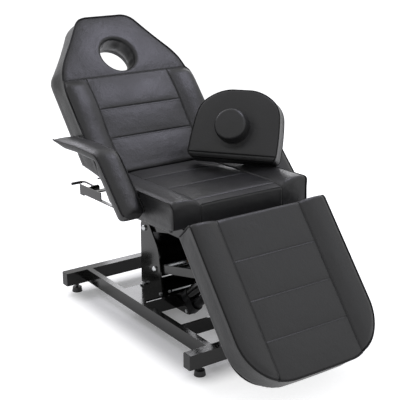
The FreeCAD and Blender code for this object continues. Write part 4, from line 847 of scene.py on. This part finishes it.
# %% Back mesh
back_rows = (
    rows_between(-307, 307, PITCH, (-back_seam, back_seam)),
    rows_between(-8, 729, PITCH, (*back_channels, head_seam)), rows_w,
)
back_cover = sewn_cover("back_cover", back_form, back_rows, back_held, back_place)
belongs(back_cover, "back", "back_cushion")

# %% [markdown]
# The leg rest cushion
# A pad of the same make, 600 by 603 mm, with two big round corners at the foot end and a rolled
# upper edge. Its side seams run right down to the foot end.

# %% Leg rest form
leg_half, leg_seam, leg_length, leg_corner = 300.0, 182.0, 603.0, 176.0
leg_channels = [-0.273 * leg_length, -0.514 * leg_length, -0.755 * leg_length]
leg_upper_end = ((-11.7, -90.0), (0.0, 14.3))


def leg_plan(u, v):
    """Signed distance to the leg rest's outline: straight sides, and a foot end bowed by the square of u,
    with wide round corners."""
    return rounded(np.abs(u) - leg_half, -leg_length - 5.0 - v + (u / 100.0) ** 2, leg_corner)


def leg_top(u, v):
    """Height of the leg rest's top skin: rows or bolsters, with their creases."""
    side, inside_edge = np.abs(u), -leg_plan(u, v)
    rows = quilted_row(u, v, leg_seam, [24.0, *leg_channels, -leg_length - 8])
    rolls = bolster(side - leg_seam, inside_edge, 13.0, 8.0)
    top = np.where(side < leg_seam, rows, rolls)
    top = with_channels(top, u, v, leg_seam, leg_channels, 1.7, 1.8, 0.6, 30)
    top = top + crease(leg_seam - side, 2.4, 1.8)
    return top + puckers(v, side - leg_seam, 0.6, 37, 10.0)


def leg_form(u, v, w):
    """Distance to the leg rest's skin: top, outline, rolled upper end and flat base."""
    upper = beyond(v, w, *leg_upper_end)
    skin = rounded(w - leg_top(u, v), upper, 20.0)
    skin = rounded(skin, rounded(leg_plan(u, v) + (tucked(w) + 1.0), upper, 9.0), 7.0)
    return rounded(skin, -BASE_DEPTH - w, 3.0)


def leg_held(points):
    """Where the leg rest's cover is held: base, channels, side seams, piping and upper end."""
    u, v, w = points.T
    seams = channel_distances(u, v, leg_seam, leg_channels) + [np.abs(u) - leg_seam]
    held = held_down(w, seams + [edge_distance(-leg_plan(u, v), w)])
    return np.maximum(held, ease((v + 44.0) / 26.0))


print("leg rest channels at", np.round(leg_channels, 1).tolist(), "mm")

# %% Leg rest mesh
leg_rows = (
    rows_between(-306, 306, PITCH, (-leg_seam, leg_seam)),
    rows_between(-620, 8, PITCH, leg_channels), rows_w,
)
leg_cover = sewn_cover("leg_rest_cover", leg_form, leg_rows, leg_held, leg_place)
belongs(leg_cover, "leg_rest", "leg_cushion")

# %% [markdown]
# Piping
# A cord in a strip of the cover is sewn in along each outer edge. It is a round tube that follows the
# edge: points are drawn onto the form's skin, and a ring is laid round each of them, in the plane of
# the skin's normal and the tube's own sideways direction. No ring has to be turned from the last one,
# so the tube can't twist.

# %% Tubes along an edge
PIPING_RADIUS, PIPING_PROUD, TUBE_SIDES = 3.3, 1.4, 10


def evenly(points, pitch, closed=False):
    """Points at equal steps along a line, by straight interpolation over its length."""
    line = np.vstack([points, points[:1]]) if closed else np.asarray(points, float)
    gone = np.concatenate([[0.0], np.cumsum(np.linalg.norm(np.diff(line, axis=0), axis=1))])
    count = max(int(round(gone[-1] / pitch)), 3)
    at = np.linspace(0, gone[-1], count + 1)[:count if closed else None]
    return np.stack([np.interp(at, gone, line[:, i]) for i in range(3)], axis=1)


def unit(vectors):
    """Vectors of length 1: each is divided by its norm."""
    return vectors / np.linalg.norm(vectors, axis=1)[:, None]


def directions(points, closed=False):
    """Unit tangents by central differences."""
    if closed:
        along = np.roll(points, -1, axis=0) - np.roll(points, 1, axis=0)
    else:
        along = np.gradient(points, axis=0)
    return unit(along)


def wrapped(grid, closed=False):
    """Faces of a grid that closes on itself across. Its first and last row are joined, or closed by one face
    each."""
    rows, sides = grid.shape[:2]
    i, j = np.meshgrid(np.arange(rows if closed else rows - 1), np.arange(sides), indexing="ij")
    i2, j2 = (i + 1) % rows, (j + 1) % sides
    quads = np.stack([i * sides + j, i * sides + j2, i2 * sides + j2, i2 * sides + j], axis=-1)
    faces = quads.reshape(-1, 4).tolist()
    if not closed:
        faces += [list(range(sides))[::-1], list(range((rows - 1) * sides, rows * sides))]
    return grid.reshape(-1, 3), faces


def tube_along(points, normals, radius, closed=False):
    """A round tube: centre plus r cos(a) times the normal plus r sin(a) times the sideways direction."""
    along = directions(points, closed)
    sideways = unit(np.cross(along, normals))
    upward = np.cross(sideways, along)
    angle = np.linspace(0, 2 * np.pi, TUBE_SIDES, endpoint=False)
    ring = np.cos(angle)[None, :, None] * upward[:, None] + np.sin(angle)[None, :, None] * sideways[:, None]
    return wrapped(points[:, None] + radius * ring, closed)


def facing_out(points, faces):
    """Turn all faces round if the closed volume, a sum of triple products, comes out negative."""
    first, second, third = (np.array([points[face[k]] for face in faces]) for k in range(3))
    volume = sum(np.einsum("ij,ij->i", first, np.cross(second, third)))
    return faces if volume > 0 else [face[::-1] for face in faces]


def join(parts):
    """Several (points, faces) pairs as one pair."""
    points, faces, start = [], [], 0
    for some_points, some_faces in parts:
        points.append(some_points)
        faces += [[index + start for index in face] for face in some_faces]
        start += len(some_points)
    return np.concatenate(points), faces


def piping_on(form, path, radius=PIPING_RADIUS, proud=PIPING_PROUD, closed=False):
    """A tube laid on the form's skin along a rough path."""
    line = evenly(np.asarray(path, float), 6.0, closed)
    for _ in range(2):
        line = evenly(onto(form, line, proud, 8), 5.0, closed)
    _, slope = slope_of(form, line)
    return tube_along(line, unit(slope), radius, closed=closed)


print("piping", 2 * PIPING_RADIUS, "mm thick")


# %% Paths of the edges
def arc(centre, radius, start, end, steps=12):
    """Points of an arc in a plane, angles in degrees."""
    angle = np.radians(np.linspace(start, end, steps))
    return np.stack([centre[0] + radius * np.cos(angle), centre[1] + radius * np.sin(angle)], axis=1)


def run(u, v, w, count):
    """A straight run of points. Each of u, v and w is one value, or a pair from first to last."""
    ends = [c if isinstance(c, tuple) else (c, c) for c in (u, v, w)]
    return np.stack([np.linspace(first, last, count) for first, last in ends], axis=1)


def at_u(u, side_line):
    """A line of the side view, (v, w), at one u."""
    return np.column_stack([np.full(len(side_line), u), side_line])


def mirrored(path):
    """The same path on the other side."""
    return np.asarray(path) * (-1.0, 1.0, 1.0)


EDGE_W = 4.0
seat_edge = np.vstack([
    run(seat_half - 1.5, (-26, -seat_depth + 30), EDGE_W, 40),
    at_u(seat_half - 3.0, arc((-seat_depth + 28, -22.0), 27.0, 90, 180)),
    run(seat_half - 4.0, -seat_depth + 1.0, (-28, -86), 10),
])
foot_corner = arc((leg_half - leg_corner, -leg_length + 171), leg_corner - 1.5, 0, -90, 24)
leg_edge = np.vstack([
    run(leg_half - 3.0, (-12, -2), (-84, -14), 8),
    at_u(leg_half - 2.0, arc((-20.0, -15.0), 19.0, 0, 90, 8)),
    run(leg_half - 1.5, (-24, -leg_length + 178), EDGE_W, 30),
    np.column_stack([foot_corner, np.full(len(foot_corner), EDGE_W)]),
])
leg_edge = np.vstack([leg_edge, mirrored(leg_edge)[::-1]])
back_edge = np.vstack([
    run(back_half - 1.5, (26, shoulder), EDGE_W, 40),
    [(tip_half, back_length - 1.5, EDGE_W), (60, back_length - 1.5, EDGE_W)],
])
back_edge = np.vstack([back_edge, mirrored(back_edge)[::-1]])
front_line = run((-seat_seam + 2, seat_seam - 2), -seat_depth + 4.0, -9.0, 60)
print("edge paths", len(seat_edge), len(leg_edge), len(back_edge), len(front_line))

# %% Piping pieces
WELT_RADIUS, WELT_PROUD = 2.2, 0.8
both_edges = join([piping_on(seat_form, seat_edge), piping_on(seat_form, mirrored(seat_edge))])
front_welt = piping_on(seat_form, front_line, WELT_RADIUS, WELT_PROUD)
for word, tubes, placing, skin, body in (
    ("seat_piping", both_edges, seat_place, piping_leather_painted_shade, "seat"),
    ("back_piping", piping_on(back_form, back_edge), back_place, piping_leather_painted_shade, "back"),
    ("leg_rest_piping", piping_on(leg_form, leg_edge), leg_place, piping_leather_painted_shade, "leg_rest"),
    ("seat_front_welt", front_welt, seat_place, cover, "seat"),
):
    piece = new_piece(word, *tubes, placing, skin)
    belongs(piece, body)
    print(word, len(piece.data.vertices), "points")

# %% [markdown]
# Two strips that close openings
# Behind the seat a flap of the black cloth curls over the hinge, so that no light comes through
# between seat and back at any lean. It is a dark sheet put where the gap between the cushions would
# lie in shade: painted shade. The face hole's lining runs on as a sleeve through the board.

# %% A flap over the hinge
FLAP_RADIUS, FLAP_START, FLAP_END, FLAP_THICK = 18.7, 120.0, 34.0, 1.6


def ribbon(centre_line, thickness, u_rows):
    """A sheet: a line of (v, w) points, thickened along its normals, carried across at the given u rows."""
    along = unit(np.gradient(centre_line, axis=0))
    normal = np.stack([-along[:, 1], along[:, 0]], axis=1) * thickness / 2
    loop = np.vstack([centre_line + normal, (centre_line - normal)[::-1]])
    grid = np.empty((len(u_rows), len(loop), 3))
    grid[..., 0] = np.asarray(u_rows)[:, None]
    grid[..., 1:] = loop[None]
    return grid


flap_arc = arc(HINGE_IN_SEAT, FLAP_RADIUS, FLAP_START, FLAP_END, 16)
flap_line = np.vstack([[(-3.5, -14.5), (-0.5, -13.0)], flap_arc])
flap_u = np.linspace(-seat_half + 4, seat_half - 4, 60)
flap_points, flap_faces = wrapped(ribbon(flap_line, FLAP_THICK, flap_u))
# Painted shade: a black sheet in the gap behind the seat, where the gap would lie in shade.
flap = new_piece("hinge_gap_shade_flap", flap_points, facing_out(flap_points, flap_faces), seat_place, cloth_black)
belongs(flap, "seat")
print("flap", len(flap_points), "points")

# %% A sleeve in the face hole
SLEEVE_V, SLEEVE_RADIUS = 525.0, 81.0
sleeve_profile = np.array([
    (0.0, -86.0), (0.0, -94.0), (0.0, -103.4), (0.7, -104.2),
    (1.5, -103.4), (1.5, -94.0), (1.5, -86.0), (0.7, -85.2),
])
turns = np.linspace(0, 2 * np.pi, 72, endpoint=False)
sleeve_radius = SLEEVE_RADIUS + sleeve_profile[None, :, 0]
sleeve_grid = np.stack([
    sleeve_radius * np.cos(turns)[:, None], SLEEVE_V + sleeve_radius * np.sin(turns)[:, None],
    np.broadcast_to(sleeve_profile[None, :, 1], (len(turns), len(sleeve_profile))),
], axis=-1)
sleeve_points, sleeve_faces = wrapped(sleeve_grid, closed=True)
sleeve_faces = facing_out(sleeve_points, sleeve_faces)
sleeve = finer(new_piece("face_hole_sleeve", sleeve_points, sleeve_faces, back_place, cover))
belongs(sleeve, "back")
print("sleeve", len(sleeve_points), "points")

# %% [markdown]
# Arm pads
# Each arm is a plank of foam that is level along the side and bends down at 45 degrees in front. Its
# cover is sewn along both long edges and domed between them. The pad is a section carried along a
# path: the path is the line of the upper seam in the side view, and the section is as wide as the
# arm, with the gusset's height changing along the way.

# %% Path of the arm's seam line
arm_inner, arm_outer = 310.0, 400.0
arm_rear_y, arm_level_y, arm_bend_y = 403.6, 212.0, 55.98
arm_rear_z, arm_level_z, arm_tip_z = 727.0, 739.0, 553.0
arm_tip_y = arm_bend_y - (arm_level_z - arm_tip_z)


def rounded_path(corners, pitch):
    """A line through corners (y, z, radius) at equal steps. Each corner is a curve of second degree between
    the points where an arc of that radius would touch."""
    points = [corners[0][:2]]
    for before, corner, after in zip(corners, corners[1:], corners[2:]):
        here = np.array(corner[:2])
        a = np.array(before[:2]) - here
        b = np.array(after[:2]) - here
        a, b = a / np.linalg.norm(a), b / np.linalg.norm(b)
        half = math.acos(np.clip(a @ b, -1, 1)) / 2
        cut = corner[2] / math.tan(half)
        share = np.linspace(0, 1, 14)[:, None]
        start, end = here + a * cut, here + b * cut
        points += list((1 - share) ** 2 * start + 2 * share * (1 - share) * here + share ** 2 * end)
    points.append(corners[-1][:2])
    line = np.array([(0.0, y, z) for y, z in points])
    return evenly(line, pitch)[:, 1:]


arm_corners = [
    (arm_rear_y, arm_rear_z, 0), (arm_level_y, arm_level_z, 300.0), (arm_bend_y, arm_level_z, 78.0),
    (arm_tip_y, arm_tip_z, 0),
]
arm_line = rounded_path(arm_corners, 6.0)
arm_gone = np.concatenate([[0.0], np.cumsum(np.linalg.norm(np.diff(arm_line, axis=0), axis=1))])
print("arm seam line", round(float(arm_gone[-1]), 1), "mm")


# %% Section along the arm
ARM_HALF, GUSSET_LEVEL, GUSSET_DROP, ARM_DOME = 45.0, 21.0, 41.0, 15.0


def quarter_round(t):
    """A quarter circle that rises from 0 to 1: root of one minus the square of one minus t."""
    return np.sqrt(np.clip(1 - (1 - np.clip(t, 0, 1)) ** 2, 0, 1))


def arm_section(share):
    """Sizes at each step of the arm: half width, gusset height and dome, drawn in at both ends by quarter
    circles."""
    length = arm_gone[-1]
    gone, left = share * length, (1 - share) * length
    rear, front = quarter_round(gone / 16.0), quarter_round(left / 24.0)
    half = ARM_HALF - 12.0 * (1 - rear) - 18.0 * (1 - front)
    level = GUSSET_LEVEL * (0.28 + 0.72 * ease(gone / 110.0))
    gusset = level + (GUSSET_DROP - GUSSET_LEVEL) * ease((gone - 330.0) / 90.0)
    dome = ARM_DOME * (0.25 + 0.75 * ease(gone / 150.0))
    return half, gusset * (0.3 + 0.7 * rear) - 12.0 * (1 - front), dome * rear * front - 12.0 * (1 - front)


arm_half, arm_gusset, arm_dome = arm_section(arm_gone / arm_gone[-1])


def arm_skin():
    """The grid: for each step and each point of the section, centre plus x across plus n along the path's
    normal."""
    half, gusset, dome = (a[:, None] for a in (arm_half, arm_gusset, arm_dome))
    tangent = unit(np.gradient(arm_line, axis=0))
    normal = np.stack([tangent[:, 1], -tangent[:, 0]], axis=1)
    normal *= np.sign(normal[:, 1:2] + 1e-9)
    across = np.sin(np.linspace(-1, 1, 25) * np.pi / 2)
    top_x = across[None] * half
    seam_line = np.minimum(dome, 0.0)
    top_n = seam_line + np.maximum(dome, 0.0) * (1 - np.abs(across[None]) ** 2.4) ** 0.8
    rise = np.linspace(0, 1, 8)[1:-1][None]
    bulge = 1.6 * np.sin(np.pi * rise)
    side_x, side_n = half - 0.5 + bulge, seam_line - (gusset + seam_line) * rise
    under = np.linspace(-1, 1, 15)[None]
    under_x = under * (half - 2.0)
    under_n = -gusset - 1.6 * (1 - under ** 4)
    xs = np.concatenate([top_x, side_x, under_x[:, ::-1], -side_x[:, ::-1]], axis=1)
    ns = np.concatenate([top_n, side_n, under_n, side_n[:, ::-1]], axis=1)
    ys, zs = (arm_line[:, k:k + 1] + ns * normal[:, k:k + 1] for k in (0, 1))
    return np.stack([xs, ys, zs], axis=-1), normal


arm_grid, arm_normal = arm_skin()
arm_heights = arm_grid[..., 2]
print("arm grid", arm_grid.shape, "z", np.round(arm_heights.min(), 1), np.round(arm_heights.max(), 1))

# %% Arm pads, left and right
ARM_PIPING_UP = 0.8
keep = slice(1, -1)
seam_up = np.column_stack([0 * arm_normal[:, 0], arm_normal])[keep]
seam_shift = (ARM_PIPING_UP + np.minimum(arm_dome[keep], 0.0))[:, None] * seam_up
for side, word in ((-1.0, "left"), (1.0, "right")):
    middle = side * (arm_inner + arm_outer) / 2
    points, faces = wrapped(arm_grid * (side, 1.0, 1.0) + (middle, 0.0, 0.0))
    pad = finer(new_piece("arm_cover_" + word, points, facing_out(points, faces), upright, cover))
    belongs(pad, "arm_" + word, "arm_pad_" + word)
    tubes = []
    for edge_side in (-1.0, 1.0):
        line = np.column_stack([middle + edge_side * (arm_half[keep] + PIPING_PROUD), arm_line[keep]])
        tubes.append(tube_along(line + seam_shift, seam_up, PIPING_RADIUS))
    arm_piping = new_piece("arm_piping_" + word, *join(tubes), upright, piping_leather_painted_shade)
    belongs(arm_piping, "arm_" + word)
    print("arm", word, len(points), "points")

# %% [markdown]
# The head pillow
# A loose D-shaped cushion with a round plug that closes the face hole when the pillow is laid there.
# It stands on the seat and leans against the right arm. Two faces are joined by a gusset, with a
# piped seam along both edges, and a third piped line runs along the fold near its foot.

# %% Pillow form
pillow_thick, fold_b = 69.5, 21.0
pillow_widest_b, pillow_top_b, pillow_foot_half, pillow_widest_half = 121.0, 287.0, 179.0, 198.5
plug_a, plug_b, plug_hold = -7.0, 128.0, 66.0


def pillow_plan(a, b):
    """Signed distance to the D outline: a flat base, sides that lean out and in again, and a round top. Each
    side is two lines whose corner is rounded."""
    side = np.abs(a + 3.0 - 0.02 * b) / 1.05
    low = ((side - pillow_foot_half) * pillow_widest_b + b * -19.5) / math.hypot(pillow_widest_b, 19.5)
    high = ((side - pillow_widest_half) * 167.0 + (b - pillow_widest_b) * 55.5) / math.hypot(167.0, 55.5)
    outline = rounded(rounded(low, high, 87.0), b - pillow_top_b, 108.0)
    return rounded(outline, -b, 26.0)


def pillow_form(a, b, h):
    """Distance to the pillow's skin: a plump front face that falls away below its fold, a flatter rear face
    and a slightly drawn-in gusset."""
    plan = pillow_plan(a, b)
    face = 5.0 * (1 - np.exp(-np.maximum(-plan, 0) / 30.0)) - 2.0
    face = face + crease(fold_b - b, 2.5, 2.2) - 0.42 * np.maximum(fold_b - b, 0)
    middle = np.clip(-h / pillow_thick, 0, 1)
    drawn = 1.0 + 2.5 * np.sin(np.pi * middle)
    skin = rounded(plan + drawn, h - face, 9.0)
    return rounded(skin, -pillow_thick - h - 1.0, 9.0)


def pillow_held(points):
    """Where the pillow's cover is held: both piped edges, the foot, under the plug, and all behind the
    front face."""
    a, b, h = points.T
    edge = np.abs(pillow_plan(a, b)) + np.minimum(np.abs(h + 2), np.abs(h + pillow_thick - 2))
    held = np.maximum(1 - ease((edge - 6.0) / 16.0), ease((26.0 - b) / 22.0))
    off_plug = ease((np.hypot(a - plug_a, b - plug_b) - plug_hold) / 20.0)
    return np.maximum(held, 1 - off_plug * (h > -20))


pillow_rows = (np.arange(-219, 220, 6.5), rows_between(-7, 291, 6.5, (fold_b,)), np.arange(-77, 13, 5.5))
pillow_cover = sewn_cover("pillow_cover", pillow_form, pillow_rows, pillow_held, pillow_place)

# %% Pillow seams
SEAM_TUBE, RAYS, RAY_REACH, MIDDLE_B = 2.1, 300, 320.0, 140


def pillow_outline(level, h):
    """Points along the D outline at one height: on each ray from the middle, halving finds where it lies."""
    angle = np.linspace(0, 2 * np.pi, RAYS, endpoint=False)
    near, far = np.zeros(RAYS), np.full(RAYS, RAY_REACH)
    for _ in range(20):
        middle = (near + far) / 2
        within = pillow_plan(middle * np.cos(angle), MIDDLE_B + middle * np.sin(angle)) < level
        near, far = np.where(within, middle, near), np.where(within, far, middle)
    return np.stack([near * np.cos(angle), MIDDLE_B + near * np.sin(angle), np.full(RAYS, h)], axis=1)


pillow_tubes = [
    piping_on(pillow_form, pillow_outline(-2.0, height), SEAM_TUBE, 0.2, closed=True)
    for height in (-3.0, -pillow_thick + 2.0)
]
pillow_tubes.append(piping_on(pillow_form, run((-176, 178), fold_b + 1.5, 4.0, 70), SEAM_TUBE, 0.4))
pillow_piping = new_piece("pillow_piping", *join(pillow_tubes), pillow_place, piping_leather_painted_shade)
print("pillow piping", len(pillow_piping.data.vertices), "points")

# %% Pillow plug
# A drum of foam with a round rim, turned as a lathe turns: a profile carried round an axis.
plug_profile = np.vstack([
    [(0.0, 62.0), (14.0, 61.8), (30.0, 61.2), (44.0, 59.8)],
    arc((50.0, 46.0), 14.0, 80, 0, 9),
    [(65.4, 38.0), (66.4, 24.0), (66.2, 10.0), (64.8, 2.0), (63.0, -4.0)],
])


def turned(profile, around, centre):
    """A profile of (radius, height) carried round an axis: centre plus radius times cosine and sine. The
    first point is the pole."""
    angle = np.linspace(0, 2 * np.pi, around, endpoint=False)
    rings = profile[1:]
    x = centre[0] + rings[:, :1] * np.cos(angle)[None]
    y = centre[1] + rings[:, :1] * np.sin(angle)[None]
    z = np.repeat(rings[:, 1:], around, axis=1)
    grid = np.stack([x, y, z], axis=-1)
    pole = np.array([[centre[0], centre[1], profile[0, 1]]])
    rows = len(rings)
    i, j = np.meshgrid(np.arange(rows - 1), np.arange(around), indexing="ij")
    i2, j2 = i + 1, (j + 1) % around
    quads = np.stack([i * around + j, i2 * around + j, i2 * around + j2, i * around + j2], axis=-1)
    cap = [[rows * around, k, (k + 1) % around] for k in range(around)]
    base = [list(range((rows - 1) * around, rows * around))[::-1]]
    return np.vstack([grid.reshape(-1, 3), pole]), quads.reshape(-1, 4).tolist() + cap + base


plug_points, plug_faces = turned(plug_profile, 72, (plug_a, plug_b))
plug_faces = facing_out(plug_points, plug_faces)
plug_cover = finer(new_piece("plug_cover", plug_points, plug_faces, pillow_place, cover))
belongs(pillow_cover, "pillow", "head_pillow")
belongs(pillow_piping, "pillow")
belongs(plug_cover, "pillow", "pillow_plug")
print("plug", len(plug_points), "points")

# %% [markdown]
# Topstitching
# Beside each seam a row of stitches holds the folded cover down. A stitch is a short, slightly bent
# piece of thread, about 5 mm long, and the next one starts 2 mm further on. All stitches of a cushion
# are one mesh: a small capsule, copied to every place by array arithmetic.

# %% Stitches
STITCH_PITCH, STITCH_LENGTH, STITCH_THICK = 7.0, 4.8, 0.55
STITCH_SIDES, STITCH_LIFT, SEAM_GAP = 6, 0.5, 6.5
STITCH_STATION = np.array([-0.5, -0.42, -0.2, 0.2, 0.42, 0.5])
STITCH_GIRTH = np.array([0.25, 0.8, 1.0, 1.0, 0.8, 0.25])
STITCH_POINTS = STITCH_SIDES * len(STITCH_STATION)


def stitches_on(form, path):
    """Capsules of thread along a path on the skin: centre plus x along, y across and z outwards."""
    line = evenly(np.asarray(path, float), STITCH_PITCH)
    line = evenly(onto(form, line, 0.15, 6), STITCH_PITCH)
    _, slope = slope_of(form, line)
    normal, along = unit(slope), directions(line)
    across = unit(np.cross(normal, along))
    lift = STITCH_LIFT * (1 - (2 * STITCH_STATION) ** 2)
    sides, girth = STITCH_SIDES, STITCH_GIRTH
    angle = np.linspace(0, 2 * np.pi, sides, endpoint=False)
    x = np.repeat(STITCH_STATION * STITCH_LENGTH, sides)
    y = (girth[:, None] * np.cos(angle)[None] * STITCH_THICK).ravel()
    z = (girth[:, None] * np.sin(angle)[None] * STITCH_THICK + lift[:, None]).ravel()
    points = line[:, None] + x[None, :, None] * along[:, None]
    points = points + y[None, :, None] * across[:, None] + z[None, :, None] * normal[:, None]
    i, j = np.meshgrid(np.arange(len(STITCH_STATION) - 1), np.arange(sides), indexing="ij")
    i2, j2 = i + 1, (j + 1) % sides
    quads = np.stack([i * sides + j, i * sides + j2, i2 * sides + j2, i2 * sides + j], axis=-1).reshape(-1, 4)
    # Each six-sided end is closed by two more quads.
    quads = np.vstack([quads, [[3, 2, 1, 0], [5, 4, 3, 0], [30, 31, 32, 33], [33, 34, 35, 30]]])
    all_quads = (quads[None] + STITCH_POINTS * np.arange(len(line))[:, None, None]).reshape(-1, 4)
    return points.reshape(-1, 3), all_quads.tolist()


def stitch_paths(seam, channels, first, last):
    """The rows of one cushion: one below each channel, and one outside each side seam from first to last."""
    across = [run((-seam + 8, seam - 8), channel - 6.0, -6.0, 40) for channel in channels]
    along = run(seam + SEAM_GAP, (first, last), -4.0, 40)
    return across, [along, mirrored(along)]


seat_across, seat_along = stitch_paths(seat_seam, seat_channels, -36, -seat_depth + 26)
back_across, back_along = stitch_paths(back_seam, back_channels, 40, head_seam - 8)
leg_across, leg_along = stitch_paths(leg_seam, leg_channels, -30, -leg_length + 12)
above_head_seam = run((-back_half + 12, back_half - 12), head_seam + SEAM_GAP, -6.0, 60)
for word, form, paths, placing, body in (
    ("seat_stitching", seat_form, seat_across + seat_along, seat_place, "seat"),
    ("back_stitching", back_form, back_across + [above_head_seam] + back_along, back_place, "back"),
    ("leg_rest_stitching", leg_form, leg_across + leg_along, leg_place, "leg_rest"),
):
    sewn = new_piece(word, *join([stitches_on(form, path) for path in paths]), placing, thread)
    belongs(sewn, body)
    print(word, len(sewn.data.vertices) // STITCH_POINTS, "stitches")
